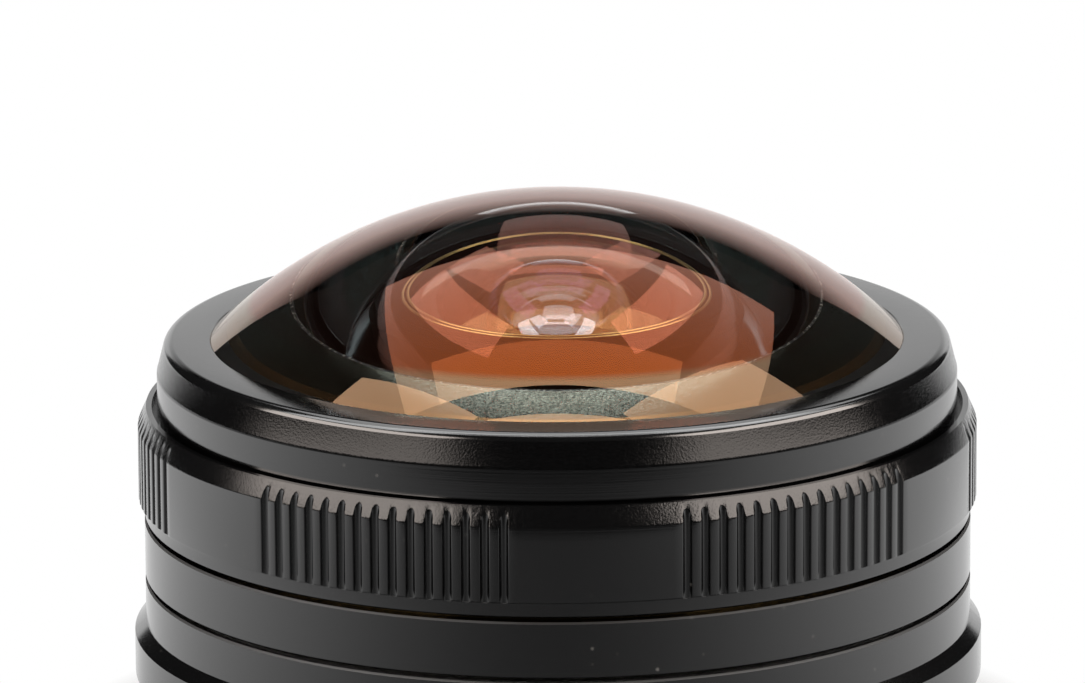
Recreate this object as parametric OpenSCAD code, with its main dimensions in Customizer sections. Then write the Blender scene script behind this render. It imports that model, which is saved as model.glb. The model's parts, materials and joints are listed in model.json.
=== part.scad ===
// Compact circular fisheye lens for a small bayonet mount.
// Millimetres. The origin is the centre of the mounting flange, and +Z points along the optical axis.
// The front of the lens is up.
// The focus ring screws the whole optical block forward, and the aperture ring turns a seven-bladed iris.

/* [Rear barrel] */
// Outside diameter shared by the rear band and the aperture ring
barrel_d = 44; // [40:0.1:48]
// How far the base next to the camera stands out from the band
base_step = 0.6; // [0.3:0.05:2]
// Height of the straight wall of the base above the flange
base_wall_h = 2.35; // [2:0.05:4]
// Height of the chamfer above the base wall
base_chamfer_h = 0.65; // [0.4:0.05:1.5]
// Height of the fixed band under the aperture ring
band_h = 2.25; // [1.8:0.05:4]
// Open gap between two neighbouring rings
ring_gap = 0.22; // [0.15:0.01:0.35]
// Wall of the rings that turn on the guide tube
ring_wall = 2.4; // [2.1:0.05:2.8]
// Wall of the guide tube
tube_wall = 1; // [0.8:0.05:1.2]
// Thickness of the floor that carries the bayonet plate
floor_t = 1.9; // [1.4:0.05:2.3]

/* [Bayonet] */
// Thickness of the bayonet plate
plate_t = 1.3; // [1.1:0.05:1.6]
// Rim of the base around the bayonet plate
base_rim = 1.2; // [0.8:0.05:2]
// Width of the flange face around the pilot
flange_w = 2.45; // [2.2:0.05:3]
// How far the flange face stands proud of the base
flange_proud = 0.1; // [0.05:0.01:0.3]
// Length of the pilot that centres the lens in the camera throat
pilot_h = 1; // [0.8:0.05:1.2]
// How far the neck is set back from the pilot
neck_step = 1.05; // [0.8:0.05:1.4]
// Wall of the neck
neck_wall = 2.7; // [2:0.05:3.2]
// Thickness of the ledge at the top of the neck bore
ledge_t = 1.8; // [1.5:0.05:2.2]
// Width of that ledge
ledge_w = 0.8; // [0.6:0.05:1.5]
// Number of bayonet claws
claws = 3; // [3:1:4]
// Arc covered by one claw in degrees
claw_arc = 46; // [36:1:56]
// Depth of the camera side of the claws below the flange
claw_drop = 2.2; // [2:0.05:2.4]
// Thickness of a claw
claw_t = 1.2; // [0.9:0.05:1.5]
// Number of plate screws
plate_screws = 4; // [3:1:6]
// Shank diameter of a plate screw
plate_screw_d = 1.2; // [1:0.05:1.4]
// Head diameter of a plate screw
plate_screw_head_d = 2; // [1.8:0.05:2.2]
// Length of a plate screw
plate_screw_l = 3; // [2.4:0.1:4]
// Width of the lock notch in the flange
lock_notch_d = 2; // [1.6:0.1:2.2]
// Depth of the lock notch
lock_notch_h = 0.9; // [0.6:0.05:1]
// Diameter of the alignment dot
dot_d = 1.2; // [0.8:0.1:1.6]

/* [Rear baffle] */
// Wall of the baffle cup
baffle_wall = 0.8; // [0.5:0.05:1.2]
// Thickness of the baffle floor
baffle_floor = 0.45; // [0.35:0.05:0.6]
// How much wider than the rear element the hole in the baffle floor is
baffle_hole_margin = 0.15; // [0:0.05:0.5]
// Air between the rear cell and the baffle floor
baffle_air = 0.48; // [0.4:0.02:1]
// How far the neck reaches past the baffle floor
baffle_recess = 0.3; // [0.2:0.05:0.6]

/* [Aperture ring] */
// Height of the aperture ring
aperture_ring_h = 3; // [2.8:0.05:5]
// Turn of the aperture ring from open to closed in degrees
aperture_turn = 40; // [30:1:42]
// Direction of the drive pin at full aperture in degrees
drive_angle = 70; // [0:1:110]
// Diameter of the drive pin
drive_pin_d = 1; // [0.8:0.05:1.2]
// Height of the drive pin above the lower face of the ring
drive_pin_rise = 1.1; // [1:0.05:1.3]
// Height of the nuts that hold the two rings down
nut_t = 0.9; // [0.7:0.05:1]

/* [Focus ring] */
// How far the grip of the focus ring stands out from the barrel
grip_proud = 0.3; // [0.25:0.05:1]
// Height of the focus ring
focus_ring_h = 5.88; // [5.5:0.02:8]
// Height of the chamfer at the front of the focus ring
focus_chamfer_h = 1.02; // [0.6:0.02:1.4]
// Flat land between that chamfer and the bore
focus_land = 0.3; // [0.1:0.01:0.4]
// How far the lip below the grip is set back from the barrel
lip_inset = 0.03; // [0:0.01:0.2]
// Height of the lip
lip_h = 0.76; // [0.5:0.02:1.2]
// Groups of grooves around the grip
groove_groups = 6; // [4:1:8]
// Grooves in one group
grooves = 15; // [9:1:17]
// Angle from groove to groove in degrees
groove_pitch = 2.54; // [2.3:0.02:2.6]
// Direction of the middle of the first group, from the front towards +X, in degrees
groove_start = 35.1; // [0:0.1:59]
// Width of a groove
groove_w = 0.48; // [0.3:0.02:0.6]
// Depth of a groove
groove_depth = 0.3; // [0.2:0.01:0.31]
// Turn of the focus ring from far to near in degrees
focus_turn = 90; // [60:1:100]
// Thickness of the inner flange that the ring runs on
focus_flange_t = 1.5; // [1.3:0.05:2]
// Radial distance from the guide tube to the helicoid thread
helicoid_step = 0.4; // [0.3:0.02:0.5]
// Wall of the helicoid nut
helicoid_nut_wall = 1; // [0.8:0.05:1.1]
// Diameter of the pin that stops the focus ring
stop_pin_d = 0.8; // [0.6:0.05:0.9]
// Forward travel of the optics for one whole turn of the helicoid
helicoid_lead = 1; // [0.6:0.05:1.2]

/* [Front bezel] */
// How far the straight wall that the front cap slides over is set back from the barrel
bezel_inset = 0.75; // [0.6:0.05:1]
// Height of the bezel above the focus ring
bezel_rise = 3.57; // [3.3:0.01:4.5]
// Height of the straight wall above the focus ring
bezel_wall_h = 1.88; // [1.6:0.02:2.1]
// Width of the cone from the straight wall to the rounded edge of the top face
bezel_cone_w = 0.88; // [0.6:0.02:1.6]
// Width of the top face from there to the glass
bezel_face_w = 2.03; // [1.4:0.01:2.3]
// Radius of the rounded edge
bezel_edge_r = 0.55; // [0.2:0.05:0.65]
// How far the skirt reaches into the focus ring
bezel_skirt = 1; // [0.8:0.05:1.2]
// How far the skirt is cut back from the straight wall
bezel_relief = 0.15; // [0.05:0.01:0.2]

/* [Front element] */
// Radius of the outer surface
dome_r = 26.53; // [25.5:0.01:28]
// How far the glass reaches under the bezel
dome_ledge = 0.96; // [0.8:0.02:1.1]
// Depth of the flat rear rim below the top face of the bezel
dome_seat_depth = 1.42; // [1.35:0.01:1.6]
// Thickness in the middle of the glass
dome_t = 1.01; // [0.8:0.01:2]
// How much wider than the deck bore the hollow is where it meets the rear rim
hollow_margin = 1.3; // [1.1:0.05:1.6]
// Width of the gasket under the rim
gasket_w = 0.6; // [0.4:0.05:0.8]
// Height of the gasket
gasket_t = 0.4; // [0.3:0.05:0.6]

/* [Front barrel and cell] */
// Wall of the front barrel
barrel_wall = 1.24; // [1:0.02:1.4]
// Thickness of the deck that carries the optics
deck_t = 2.1; // [1.9:0.05:2.3]
// Wall of the front cell around the second element
cell_wall = 0.96; // [0.8:0.02:1.3]
// Width of the flange of the front cell
cell_flange_w = 2.8; // [2.5:0.05:3.2]
// Thickness of that flange
cell_flange_t = 1.15; // [0.9:0.05:1.4]
// Diameter of the cell screws
cell_screw_d = 0.8; // [0.6:0.05:0.9]
// Length of the front cell screws
cell_screw_l = 2.7; // [2.2:0.05:2.9]
// Width of the guide key
key_w = 2; // [1.6:0.05:2.6]
// Height of the guide key
key_h = 1.2; // [0.9:0.05:1.3]

/* [Second and third element] */
// Diameter of the second element
second_d = 17.8; // [17.4:0.05:18.1]
// Depth of its seat below the seat of the front element
second_drop = 1.92; // [1.7:0.02:2.1]
// Height of its edge
second_edge_h = 2.35; // [2.1:0.05:2.5]
// Radius of its front surface
second_front_r = 16; // [15:0.1:20]
// Diameter of its rear hollow
second_hollow_d = 12; // [11:0.1:12.4]
// Thickness in its middle
second_t = 1.45; // [1:0.05:2]
// Clear diameter of its holding ring
second_clear_d = 16.8; // [16.4:0.05:17]
// Height of the holding rings in the front cell
holding_ring_t = 0.7; // [0.5:0.05:0.8]
// Diameter of the third element
third_d = 11.2; // [10.6:0.05:11.4]
// Height of its edge
third_edge_h = 1.5; // [1.2:0.05:1.7]
// Radius of its front surface
third_front_r = 9; // [8.6:0.05:12]
// Clear diameter of its holding ring
third_clear_d = 10; // [9.4:0.05:10.2]
// Thickness of the cell floor below the third element
cell_floor_t = 2.05; // [1.6:0.05:2.2]

/* [Iris] */
// Radius of the aperture when open
open_r = 2.75; // [2.5:0.05:2.9]
// Radius of the aperture when closed
closed_r = 0.48; // [0.3:0.02:1]
// Wall of the iris housing
housing_wall = 1.65; // [1.4:0.05:1.8]
// Distance from the rim of the rotor to the circle of blade pivots
pivot_inset = 1.6; // [1.4:0.02:1.8]
// Distance from the circle of pivots to the outside of the blade arcs
lug_reach = 1; // [0.9:0.05:1.4]
// Arc of a blade in degrees
blade_arc = 150; // [135:1:160]
// Thickness of a blade
blade_t = 0.1; // [0.06:0.01:0.12]
// Gap between neighbouring blades
blade_gap = 0.04; // [0.03:0.01:0.06]
// Diameter of the pins on a blade
blade_pin_d = 0.6; // [0.5:0.02:0.7]
// Angle from a pivot back to its drive pin, in degrees
drive_lead = 13; // [12:0.5:14]
// Thickness of the rotor
rotor_t = 1; // [0.8:0.05:1.1]
// Reach of the rotor arm from the axis
rotor_arm_r = 14; // [13:0.1:15]
// Width of the rotor arm
rotor_arm_w = 2.6; // [2.2:0.1:3]
// Thickness of the plate that holds the pivots
pivot_plate_t = 0.7; // [0.6:0.05:0.9]
// Thickness of the cover under the rotor
iris_cover_t = 0.5; // [0.4:0.05:0.6]

/* [Rear group] */
// Wall of the rear cell
rear_cell_wall = 2.13; // [1.6:0.01:3]
// Thickness of its flange
rear_flange_t = 0.75; // [0.6:0.05:0.9]
// Diameter of the rear elements
rear_d = 9.7; // [9.3:0.05:10]
// Width of the spacers between them
rear_lip = 0.65; // [0.5:0.05:0.8]
// Edge thickness of the fourth element
fourth_edge_h = 0.82; // [0.5:0.02:1.2]
// Front radius of the fourth element
fourth_front_r = 12; // [11:0.1:15]
// Rear radius of the fourth element
fourth_rear_r = 16; // [15:0.1:20]
// Air from the fourth element to the doublet
doublet_air = 0.4; // [0.3:0.05:0.6]
// Edge thickness of the front half of the doublet
doublet_edge_h = 0.14; // [0.1:0.02:0.6]
// Front radius of the doublet
doublet_front_r = 11; // [10.5:0.1:14]
// Radius of the cemented surface
cement_r = 9.5; // [9.3:0.1:12]
// Centre thickness of the rear half of the doublet
doublet_rear_t = 0.7; // [0.5:0.05:0.9]
// Rear radius of the doublet
doublet_rear_r = 30; // [24:0.5:40]
// Air from the doublet to the rear element
rear_air = 0.75; // [0.65:0.05:0.85]
// Edge thickness of the rear element
rear_edge_h = 0.29; // [0.2:0.01:0.6]
// Front radius of the rear element
rear_front_r = 14; // [13:0.1:18]
// Rear radius of the rear element
rear_rear_r = 40; // [32:0.5:60]
// Height of the ring that holds the rear element
rear_ring_t = 0.5; // [0.4:0.05:0.55]

/* [Clearances] */
// Radial play of parts that turn or slide on each other
run_clear = 0.06; // [0.04:0.01:0.09]
// Axial play of parts that turn or slide on each other
end_clear = 0.04; // [0.02:0.01:0.06]
// Play of parts that are screwed, glued or cemented together
seat_clear = 0.02; // [0.01:0.01:0.03]
// Gap between the bezel wall and the focus ring
bezel_gap = 0.3; // [0.15:0.01:0.35]

/* [Hidden] */
$fn = 96;
glass_fn = 360;
over = 1;

// Heights of the outer rings
z_base_top = base_wall_h;
z_band = z_base_top + base_chamfer_h;
z_band_top = z_band + band_h;
z_aperture = z_band_top + ring_gap;
z_aperture_top = z_aperture + aperture_ring_h;
z_focus = z_aperture_top + ring_gap;
z_focus_top = z_focus + focus_ring_h;
z_bezel_top = z_focus_top + bezel_rise;
z_bezel_cone = z_focus_top + bezel_wall_h;
z_skirt = z_focus_top - bezel_skirt;
edge_break = 0.1;
cell_chamfer = 0.4;

// Radii of the outer pieces, all set from the barrel
ring_r = barrel_d / 2;
base_r = ring_r + base_step;
plate_r = base_r - base_rim;
pilot_r = plate_r - flange_w;
neck_r = pilot_r - neck_step;
neck_bore_r = neck_r - neck_wall;
floor_bore_r = neck_bore_r - ledge_w;
grip_r = ring_r + grip_proud;
lip_r = ring_r - lip_inset;
bezel_r = ring_r - bezel_inset;
bezel_top_r = bezel_r - bezel_cone_w;
dome_clear_r = bezel_top_r - bezel_face_w;
dome_edge_r = dome_clear_r + dome_ledge;

// Guide tube and the nuts that hold the rings on it
tube_r = ring_r - ring_wall;
tube_bore_r = tube_r - tube_wall;
ring_bore_r = tube_r + run_clear;
nut_step = tube_wall * 0.4;
nut_overlap = 1.1;
aperture_nut_r = tube_r + nut_overlap;
focus_nut_overlap = 0.7;
focus_nut_r = tube_r + focus_nut_overlap;
nut_room = 0.2;
washer_room = 0.15;
washer_rim = 0.5;
z_nut_seat = z_aperture_top - nut_t;
z_focus_flange = z_focus + focus_flange_t;
z_focus_nut = z_focus_flange + end_clear;
z_tube_top = z_focus_nut + nut_t;
z_floor_top = plate_t + floor_t;

// Helicoid
helicoid_room = 0.12;
z_helicoid = z_tube_top + helicoid_room;
z_helicoid_top = z_skirt - helicoid_room;
helicoid_r = tube_r + helicoid_step;
helicoid_nut_r = helicoid_r + helicoid_nut_wall;
focus_travel = helicoid_lead * focus_turn / 360;

// Radii of the front cell, set from the second element, and the deck bore around it
second_r = second_d / 2;
second_ring_step = 0.7;
second_ring_r = second_r + second_ring_step;
cell_spigot_r = second_ring_r + seat_clear + cell_wall;
deck_bore_r = cell_spigot_r + seat_clear;
cell_r = deck_bore_r;
cell_flange_r = cell_r + cell_flange_w;

// Front element and its seat
z_seat = z_bezel_top - dome_seat_depth;
z_dome_centre = z_bezel_top - sqrt(dome_r * dome_r - dome_clear_r * dome_clear_r);
hollow_rim_r = deck_bore_r + hollow_margin;
hollow_h = z_dome_centre + dome_r - dome_t - z_seat;
hollow_r = cap_radius(hollow_h, hollow_rim_r);
z_hollow_centre = z_seat + hollow_h - hollow_r;
edge_room = 0.1;
pocket_r = dome_edge_r + edge_room;
gasket_inset = 0.2;
barrel_r = tube_bore_r - run_clear;
bezel_wall = 1.05;
thread_r = bezel_r - bezel_wall;
shoulder_drop = 0.77;
z_shoulder = z_seat - shoulder_drop;
z_deck = z_seat - deck_t;
rim_land = 0.3;
rim_bevel = 1.1;
floor_room = 1;
bezel_arc_steps = 8;
// From the centre of the rounded edge to the foot of the cone, and the direction where the cone leaves it
cone_foot = [bezel_cone_w, z_bezel_cone - z_bezel_top + bezel_edge_r];
bezel_edge_angle = atan2(cone_foot.y, cone_foot.x) + acos(bezel_edge_r / norm(cone_foot));

// Iris, built up from the height of the drive pin
blades = 7;
z_drive = z_aperture + drive_pin_rise;
z_rotor = z_drive - rotor_t / 2;
z_rotor_top = z_rotor + rotor_t;
z_cover_top = z_rotor - end_clear;
z_cover = z_cover_top - iris_cover_t;
z_blades = z_rotor_top + end_clear * 2;
blade_step = blade_t + blade_gap;
z_pivot_plate = z_blades + blades * blade_step + blade_gap;
z_iris_top = z_pivot_plate + pivot_plate_t;
pivot_hole_floor = 0.2;
pivot_hole_depth = pivot_plate_t - pivot_hole_floor;
rotor_room = 0.15;
housing_r = cell_r - housing_wall;
rotor_r = housing_r - rotor_room;
pivot_r = rotor_r - pivot_inset;
blade_outer_r = pivot_r - lug_reach;
blade_swing = 2 * asin((open_r - closed_r) / (2 * pivot_r));
cam_ratio = blade_swing / aperture_turn;
drive_pin_r = drive_pin_d / 2;
drive_pin_outer = (ring_bore_r + ring_r) / 2;
blade_pin_r = blade_pin_d / 2;
pin_clear = 0.04;
pin_end_room = 0.1;
lug_wall = 0.35;
lug_r = blade_pin_r + lug_wall;
blade_tail = 4;
sector_steps = 8;
cam_steps = 16;
cam_end_steps = 8;
cam_overrun = 1;
fork_depth = 2.6;
fork_grip = 2.2;
arm_room = 0.1;
arm_margin = 2;
window_room = 0.1;
window_margin = 0.5;

// Holes on the axis around the iris, each a little wider than the open aperture
pivot_plate_hole_r = open_r + 0.25;
cell_hole_r = open_r + 0.6;
rotor_hole_r = open_r + 0.85;
cover_hole_r = open_r + 0.95;

// Front cell
z_cell_flange = z_deck - cell_flange_t;
z_second = z_seat - second_drop;
z_second_apex = z_second + second_edge_h + sag(second_front_r, second_r);
second_hollow_h = z_second_apex - second_t - z_second;
second_hollow_r = cap_radius(second_hollow_h, second_hollow_d / 2);
z_second_hollow = z_second + second_hollow_h - second_hollow_r;
z_second_ring = z_second_apex - sag(second_front_r, second_clear_d / 2) + seat_clear;
z_cell_top = z_second_ring + holding_ring_t;
z_third = z_iris_top + cell_floor_t;
third_r = third_d / 2;
z_third_apex = z_third + third_edge_h + sag(third_front_r, third_r);
z_third_ring = z_third_apex - sag(third_front_r, third_clear_d / 2) + seat_clear;
third_ring_step = 0.65;
third_ring_r = third_r + third_ring_step;
cell_screw_circle = (cell_spigot_r + cell_flange_r) / 2;
cell_screw_r = cell_screw_d / 2;
iris_screw_circle = (housing_r + cell_r) / 2;
iris_screw_grip = cell_floor_t * 0.6;
screw_count = 3;
screw_start = 20;
screw_head_d = 1.36;
screw_head_h = 0.48;

// Rear group, from the iris cover to the back
rear_r = rear_d / 2;
rear_clear_r = rear_r - rear_lip;
z_rear_flange = z_cover - rear_flange_t;
iris_air = 0.2;
z_fourth = z_cover - iris_air;
z_fourth_back = z_fourth - fourth_edge_h - sag(fourth_front_r, rear_r) - sag(fourth_rear_r, rear_r);
z_doublet = z_fourth_back - doublet_air;
z_cement = z_doublet - doublet_edge_h - sag(doublet_front_r, rear_r) - sag(cement_r, rear_r);
z_doublet_back = z_cement - doublet_rear_t;
z_doublet_rim = z_doublet_back - sag(doublet_rear_r, rear_r);
z_rear = z_doublet_back - rear_air;
z_rear_back = z_rear - rear_edge_h - sag(rear_front_r, rear_r) - sag(rear_rear_r, rear_r);
z_rear_ring = z_rear_back + sag(rear_rear_r, rear_clear_r) - seat_clear;
z_rear_end = z_rear_ring - rear_ring_t;
rear_bore_r = rear_r + seat_clear;
rear_cell_r = rear_bore_r + rear_cell_wall;

// Bayonet
claw_relief = 0.05;
claw_r = pilot_r - claw_relief;
claw_root = 0.2;
plate_screw_circle = (pilot_r + plate_r) / 2;
plate_screw_start = 45;
countersink_h = (plate_screw_head_d - plate_screw_d) / 2;
recess_w = 1.2;
recess_depth = 0.35;
lock_notch_angle = 200;
lock_notch_inset = lock_notch_d * 0.4;
dot_depth = 0.3;
dot_angle = 90;
baffle_r = neck_bore_r - seat_clear;
baffle_hole_r = rear_r + baffle_hole_margin;
z_baffle_top = plate_t - ledge_t;
z_baffle_floor = z_rear_end - baffle_air;
z_baffle = z_baffle_floor - baffle_floor;
neck_h = baffle_recess - z_baffle;
baffle_bevel = 0.2;
baffle_corner_w = 2.4;
baffle_corner_h = 0.6;

// Guide key and focus stop
key_angle = 270;
key_in = 0.9;
z_key = z_focus + (focus_flange_t - key_h) / 2;
stop_angle = 150;
z_stop = z_focus + focus_flange_t / 2;
stop_reach = 0.9;
stop_groove = tube_wall * 0.6;
stop_half = asin((stop_pin_d / 2 + run_clear) / (tube_r - stop_groove));
key_room = 0.3;

function sag(curve, r) = curve - sqrt(curve * curve - r * r);

// Radius of the sphere whose cap has this height and this radius at its foot
function cap_radius(h, r) = (h * h + r * r) / (2 * h);

// A point turned about the axis
function turned(p, a) = [p.x * cos(a) - p.y * sin(a), p.x * sin(a) + p.y * cos(a)];

function polar(r, a) = [r * cos(a), r * sin(a)];

// Direction of one groove of a group; the front is -Y
function groove_direction(group, i) =
    groove_start - 90 + 360 * group / groove_groups + (i - (grooves - 1) / 2) * groove_pitch;

// Height of the outer glass surface at a radius
function dome_z(r) = z_dome_centre + sqrt(dome_r * dome_r - r * r);

// Place of a blade's drive pin when the blade has swung by b degrees
function drive_point(b) = [pivot_r, 0] + turned(polar(pivot_r, -drive_lead) - [pivot_r, 0], b);

// The same place seen from the rotor when the rotor has turned by a degrees
function cam_point(a) = turned(drive_point(a * cam_ratio), -a);

function cam_angle(i) = -cam_overrun + (aperture_turn + 2 * cam_overrun) * i / cam_steps;

// Direction of the cam path, and the direction square to it
function cam_tangent(a) = let(d = cam_point(a + 0.5) - cam_point(a - 0.5)) d / norm(d);

function cam_side(a) = turned(cam_tangent(a), 90);

module ring(outer, inner, z, h) {
    rotate_extrude() translate([inner, z]) square([outer - inner, h]);
}

module arc_slot(outer, inner, z, h, from, to) {
    rotate([0, 0, from]) rotate_extrude(angle = to - from) translate([inner, z]) square([outer - inner, h]);
}

module pattern(count, start) {
    for (i = [0 : count - 1]) rotate([0, 0, start + 360 * i / count]) children();
}

// A pin along the radius, from one radius to another
module radial_pin(r, from, to, z, angle) {
    rotate([0, 0, angle]) translate([from, 0, z]) rotate([0, 90, 0]) cylinder(r = r, h = to - from);
}

// A round lens between two heights on its axis, with a convex front; its back is flat where back_curve is 0
module lens(r, front, back, front_curve, back_curve) {
    intersection() {
        translate([0, 0, back]) cylinder(r = r, h = front - back + over);
        translate([0, 0, front - front_curve]) sphere(r = front_curve, $fn = glass_fn);
        if (back_curve > 0) translate([0, 0, back + back_curve]) sphere(r = back_curve, $fn = glass_fn);
    }
}

module base_barrel() {
    color("#1b1b1d") difference() {
        rotate_extrude() polygon([
            [floor_bore_r, plate_t], [plate_r + seat_clear, plate_t],
            [plate_r + seat_clear, flange_proud], [base_r, flange_proud],
            [base_r, z_base_top], [ring_r, z_band],
            [ring_r, z_band_top - edge_break], [ring_r - edge_break, z_band_top],
            [tube_r, z_band_top], [tube_r, z_focus_nut],
            [tube_r - nut_step, z_focus_nut], [tube_r - nut_step, z_tube_top],
            [tube_bore_r, z_tube_top], [tube_bore_r, z_floor_top], [floor_bore_r, z_floor_top]]);
        pattern(plate_screws, plate_screw_start) translate([plate_screw_circle, 0, 0])
            cylinder(r = plate_screw_d / 2 + seat_clear, h = plate_screw_l + seat_clear);
        drive_window(tube_r + over, tube_bore_r - over, 0);
        key_block(seat_clear, tube_r + over);
        arc_slot(tube_r + over, tube_r - stop_groove, z_stop - stop_pin_d / 2 - end_clear,
            stop_pin_d + 2 * end_clear, stop_angle - stop_half, stop_angle + focus_turn + stop_half);
        radial_pin(dot_d / 2 + seat_clear, base_r - dot_depth - seat_clear, base_r + over, base_wall_h / 2,
            dot_angle);
    }
}

// Window for the drive pin in a wall; drop is how far the wall moves up past the pin
module drive_window(outer, inner, drop) {
    half = asin((drive_pin_r + run_clear) / tube_bore_r) + window_margin;
    room = drive_pin_r + window_room;
    arc_slot(outer, inner, z_drive - room - drop, 2 * room + drop, drive_angle - half,
        drive_angle + aperture_turn + half);
}

module key_block(grow, outer) {
    rotate([0, 0, key_angle]) translate([tube_bore_r - key_in, -key_w / 2 - grow, z_key - grow])
        cube([outer - tube_bore_r + key_in, key_w + 2 * grow, key_h + 2 * grow]);
}

module guide_key() {
    color("#b58e45") intersection() {
        key_block(0, tube_r);
        cylinder(r = tube_r, h = z_tube_top);
    }
}

module bayonet_plate() {
    color("#c9ccd0") difference() {
        union() {
            rotate_extrude() polygon([
                [neck_bore_r, -neck_h], [neck_r - 2 * edge_break, -neck_h],
                [neck_r, -neck_h + 2 * edge_break], [neck_r, -pilot_h], [pilot_r, -pilot_h],
                [pilot_r, 0], [plate_r, 0], [plate_r, plate_t], [floor_bore_r, plate_t],
                [floor_bore_r, z_baffle_top], [neck_bore_r, z_baffle_top]]);
            pattern(claws, -claw_arc / 2)
                arc_slot(claw_r, neck_r - claw_root, -claw_drop - claw_t, claw_t, 0, claw_arc);
        }
        pattern(plate_screws, plate_screw_start) translate([plate_screw_circle, 0, 0]) {
            translate([0, 0, -over]) cylinder(r = plate_screw_d / 2 + seat_clear, h = plate_t + 2 * over);
            plate_screw_head(seat_clear);
        }
        rotate([0, 0, lock_notch_angle]) translate([plate_r - lock_notch_inset, 0, -over])
            cylinder(r = lock_notch_d / 2, h = lock_notch_h + over);
    }
}

module plate_screw_head(grow) {
    translate([0, 0, -grow]) cylinder(r1 = plate_screw_head_d / 2 + grow, r2 = plate_screw_d / 2 + grow,
        h = countersink_h + grow);
}

module bayonet_screws() {
    color("#8d9094") pattern(plate_screws, plate_screw_start) translate([plate_screw_circle, 0, 0])
        difference() {
            union() {
                plate_screw_head(0);
                cylinder(r = plate_screw_d / 2, h = plate_screw_l);
            }
            cross_recess(recess_w, recess_depth);
        }
}

// Cross recess in a screw head that faces down at height 0
module cross_recess(w, depth) {
    for (a = [0, 90]) rotate([0, 0, a]) translate([-w / 2, -w / 8, -over]) cube([w, w / 4, depth + over]);
}

module mount_dot() {
    color("#b3201c") intersection() {
        radial_pin(dot_d / 2, base_r - dot_depth, base_r + over, base_wall_h / 2, dot_angle);
        cylinder(r = base_r, h = base_wall_h);
    }
}

module rear_baffle() {
    wall_r = baffle_r - baffle_wall;
    color("#141415") rotate_extrude() polygon([
        [baffle_hole_r, z_baffle], [baffle_r - edge_break, z_baffle], [baffle_r, z_baffle + edge_break],
        [baffle_r, z_baffle_top], [wall_r, z_baffle_top], [wall_r, z_baffle_floor + baffle_corner_h],
        [wall_r - baffle_corner_w, z_baffle_floor], [baffle_hole_r + baffle_bevel, z_baffle_floor],
        [baffle_hole_r, z_baffle + baffle_bevel]]);
}

module glide_washer() {
    color("#2a2a2c") ring(aperture_nut_r + washer_rim, tube_r + washer_room, z_band_top,
        ring_gap - end_clear / 2);
}

module aperture_ring_nut() {
    color("#9a8f7a") ring(aperture_nut_r, tube_r + seat_clear, z_nut_seat + end_clear,
        nut_t + ring_gap - 2 * end_clear);
}

module focus_ring_nut() {
    color("#9a8f7a") ring(focus_nut_r, tube_r - nut_step + seat_clear, z_focus_nut, nut_t);
}

module aperture_ring() {
    color("#1d1d1f") difference() {
        rotate_extrude() polygon([
            [ring_bore_r, z_aperture], [ring_r - edge_break, z_aperture], [ring_r, z_aperture + edge_break],
            [ring_r, z_aperture_top - edge_break], [ring_r - edge_break, z_aperture_top],
            [aperture_nut_r + nut_room, z_aperture_top], [aperture_nut_r + nut_room, z_nut_seat],
            [ring_bore_r, z_nut_seat]]);
        radial_pin(drive_pin_r + seat_clear, tube_r - over, drive_pin_outer + seat_clear, z_drive,
            drive_angle);
    }
}

module aperture_drive_pin() {
    color("#c0c2c4")
        radial_pin(drive_pin_r, rotor_arm_r - fork_grip, drive_pin_outer, z_drive, drive_angle);
}

module focus_ring() {
    top_bore_r = bezel_r + bezel_gap;
    top_r = top_bore_r + focus_land;
    nut_r = helicoid_nut_r + seat_clear;
    step_h = (grip_r - lip_r) / 2;
    z_lip = z_focus + lip_h;
    groove_r = groove_w / 2;
    color("#1a1a1c") difference() {
        rotate_extrude() polygon([
            [ring_bore_r, z_focus], [lip_r - edge_break, z_focus], [lip_r, z_focus + edge_break],
            [lip_r, z_lip], [grip_r, z_lip + step_h], [grip_r, z_focus_top - focus_chamfer_h],
            [top_r, z_focus_top],
            [top_bore_r, z_focus_top], [top_bore_r, z_helicoid_top], [nut_r, z_helicoid_top],
            [nut_r, z_helicoid], [focus_nut_r + nut_room, z_helicoid],
            [focus_nut_r + nut_room, z_focus_flange], [ring_bore_r, z_focus_flange]]);
        for (g = [0 : groove_groups - 1], i = [0 : grooves - 1])
            rotate([0, 0, groove_direction(g, i)])
                translate([grip_r - groove_depth + groove_r, 0, z_lip - step_h])
                    cylinder(r = groove_r, h = focus_ring_h, $fn = 24);
        radial_pin(stop_pin_d / 2 + seat_clear, tube_r - over, ring_bore_r + stop_reach + seat_clear,
            z_stop, stop_angle);
    }
}

module focus_stop_pin() {
    color("#c0c2c4") radial_pin(stop_pin_d / 2, tube_r - stop_groove + run_clear, ring_bore_r + stop_reach,
        z_stop, stop_angle);
}

module helicoid_nut() {
    color("#b9924a") ring(helicoid_nut_r, helicoid_r, z_helicoid, z_helicoid_top - z_helicoid);
}

module helicoid_sleeve() {
    color("#b9924a") ring(helicoid_r - run_clear, barrel_r + seat_clear, z_helicoid + helicoid_room,
        z_skirt - z_helicoid - helicoid_room);
}

module front_bezel() {
    z_wall = z_focus_top + edge_break;
    color("#19191b") rotate_extrude() polygon(concat(
        [[thread_r + seat_clear, z_skirt], [bezel_r - bezel_relief, z_skirt],
            [bezel_r - bezel_relief, z_wall], [bezel_r, z_wall], [bezel_r, z_bezel_cone]],
        [for (i = [0 : bezel_arc_steps])
            let(a = bezel_edge_angle + (90 - bezel_edge_angle) * i / bezel_arc_steps)
            [bezel_top_r, z_bezel_top - bezel_edge_r] + polar(bezel_edge_r, a)],
        [[dome_clear_r + seat_clear, z_bezel_top], [pocket_r, dome_z(pocket_r) + 2 * seat_clear],
            [pocket_r, z_shoulder + seat_clear], [thread_r + seat_clear, z_shoulder + seat_clear]]));
}

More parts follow.
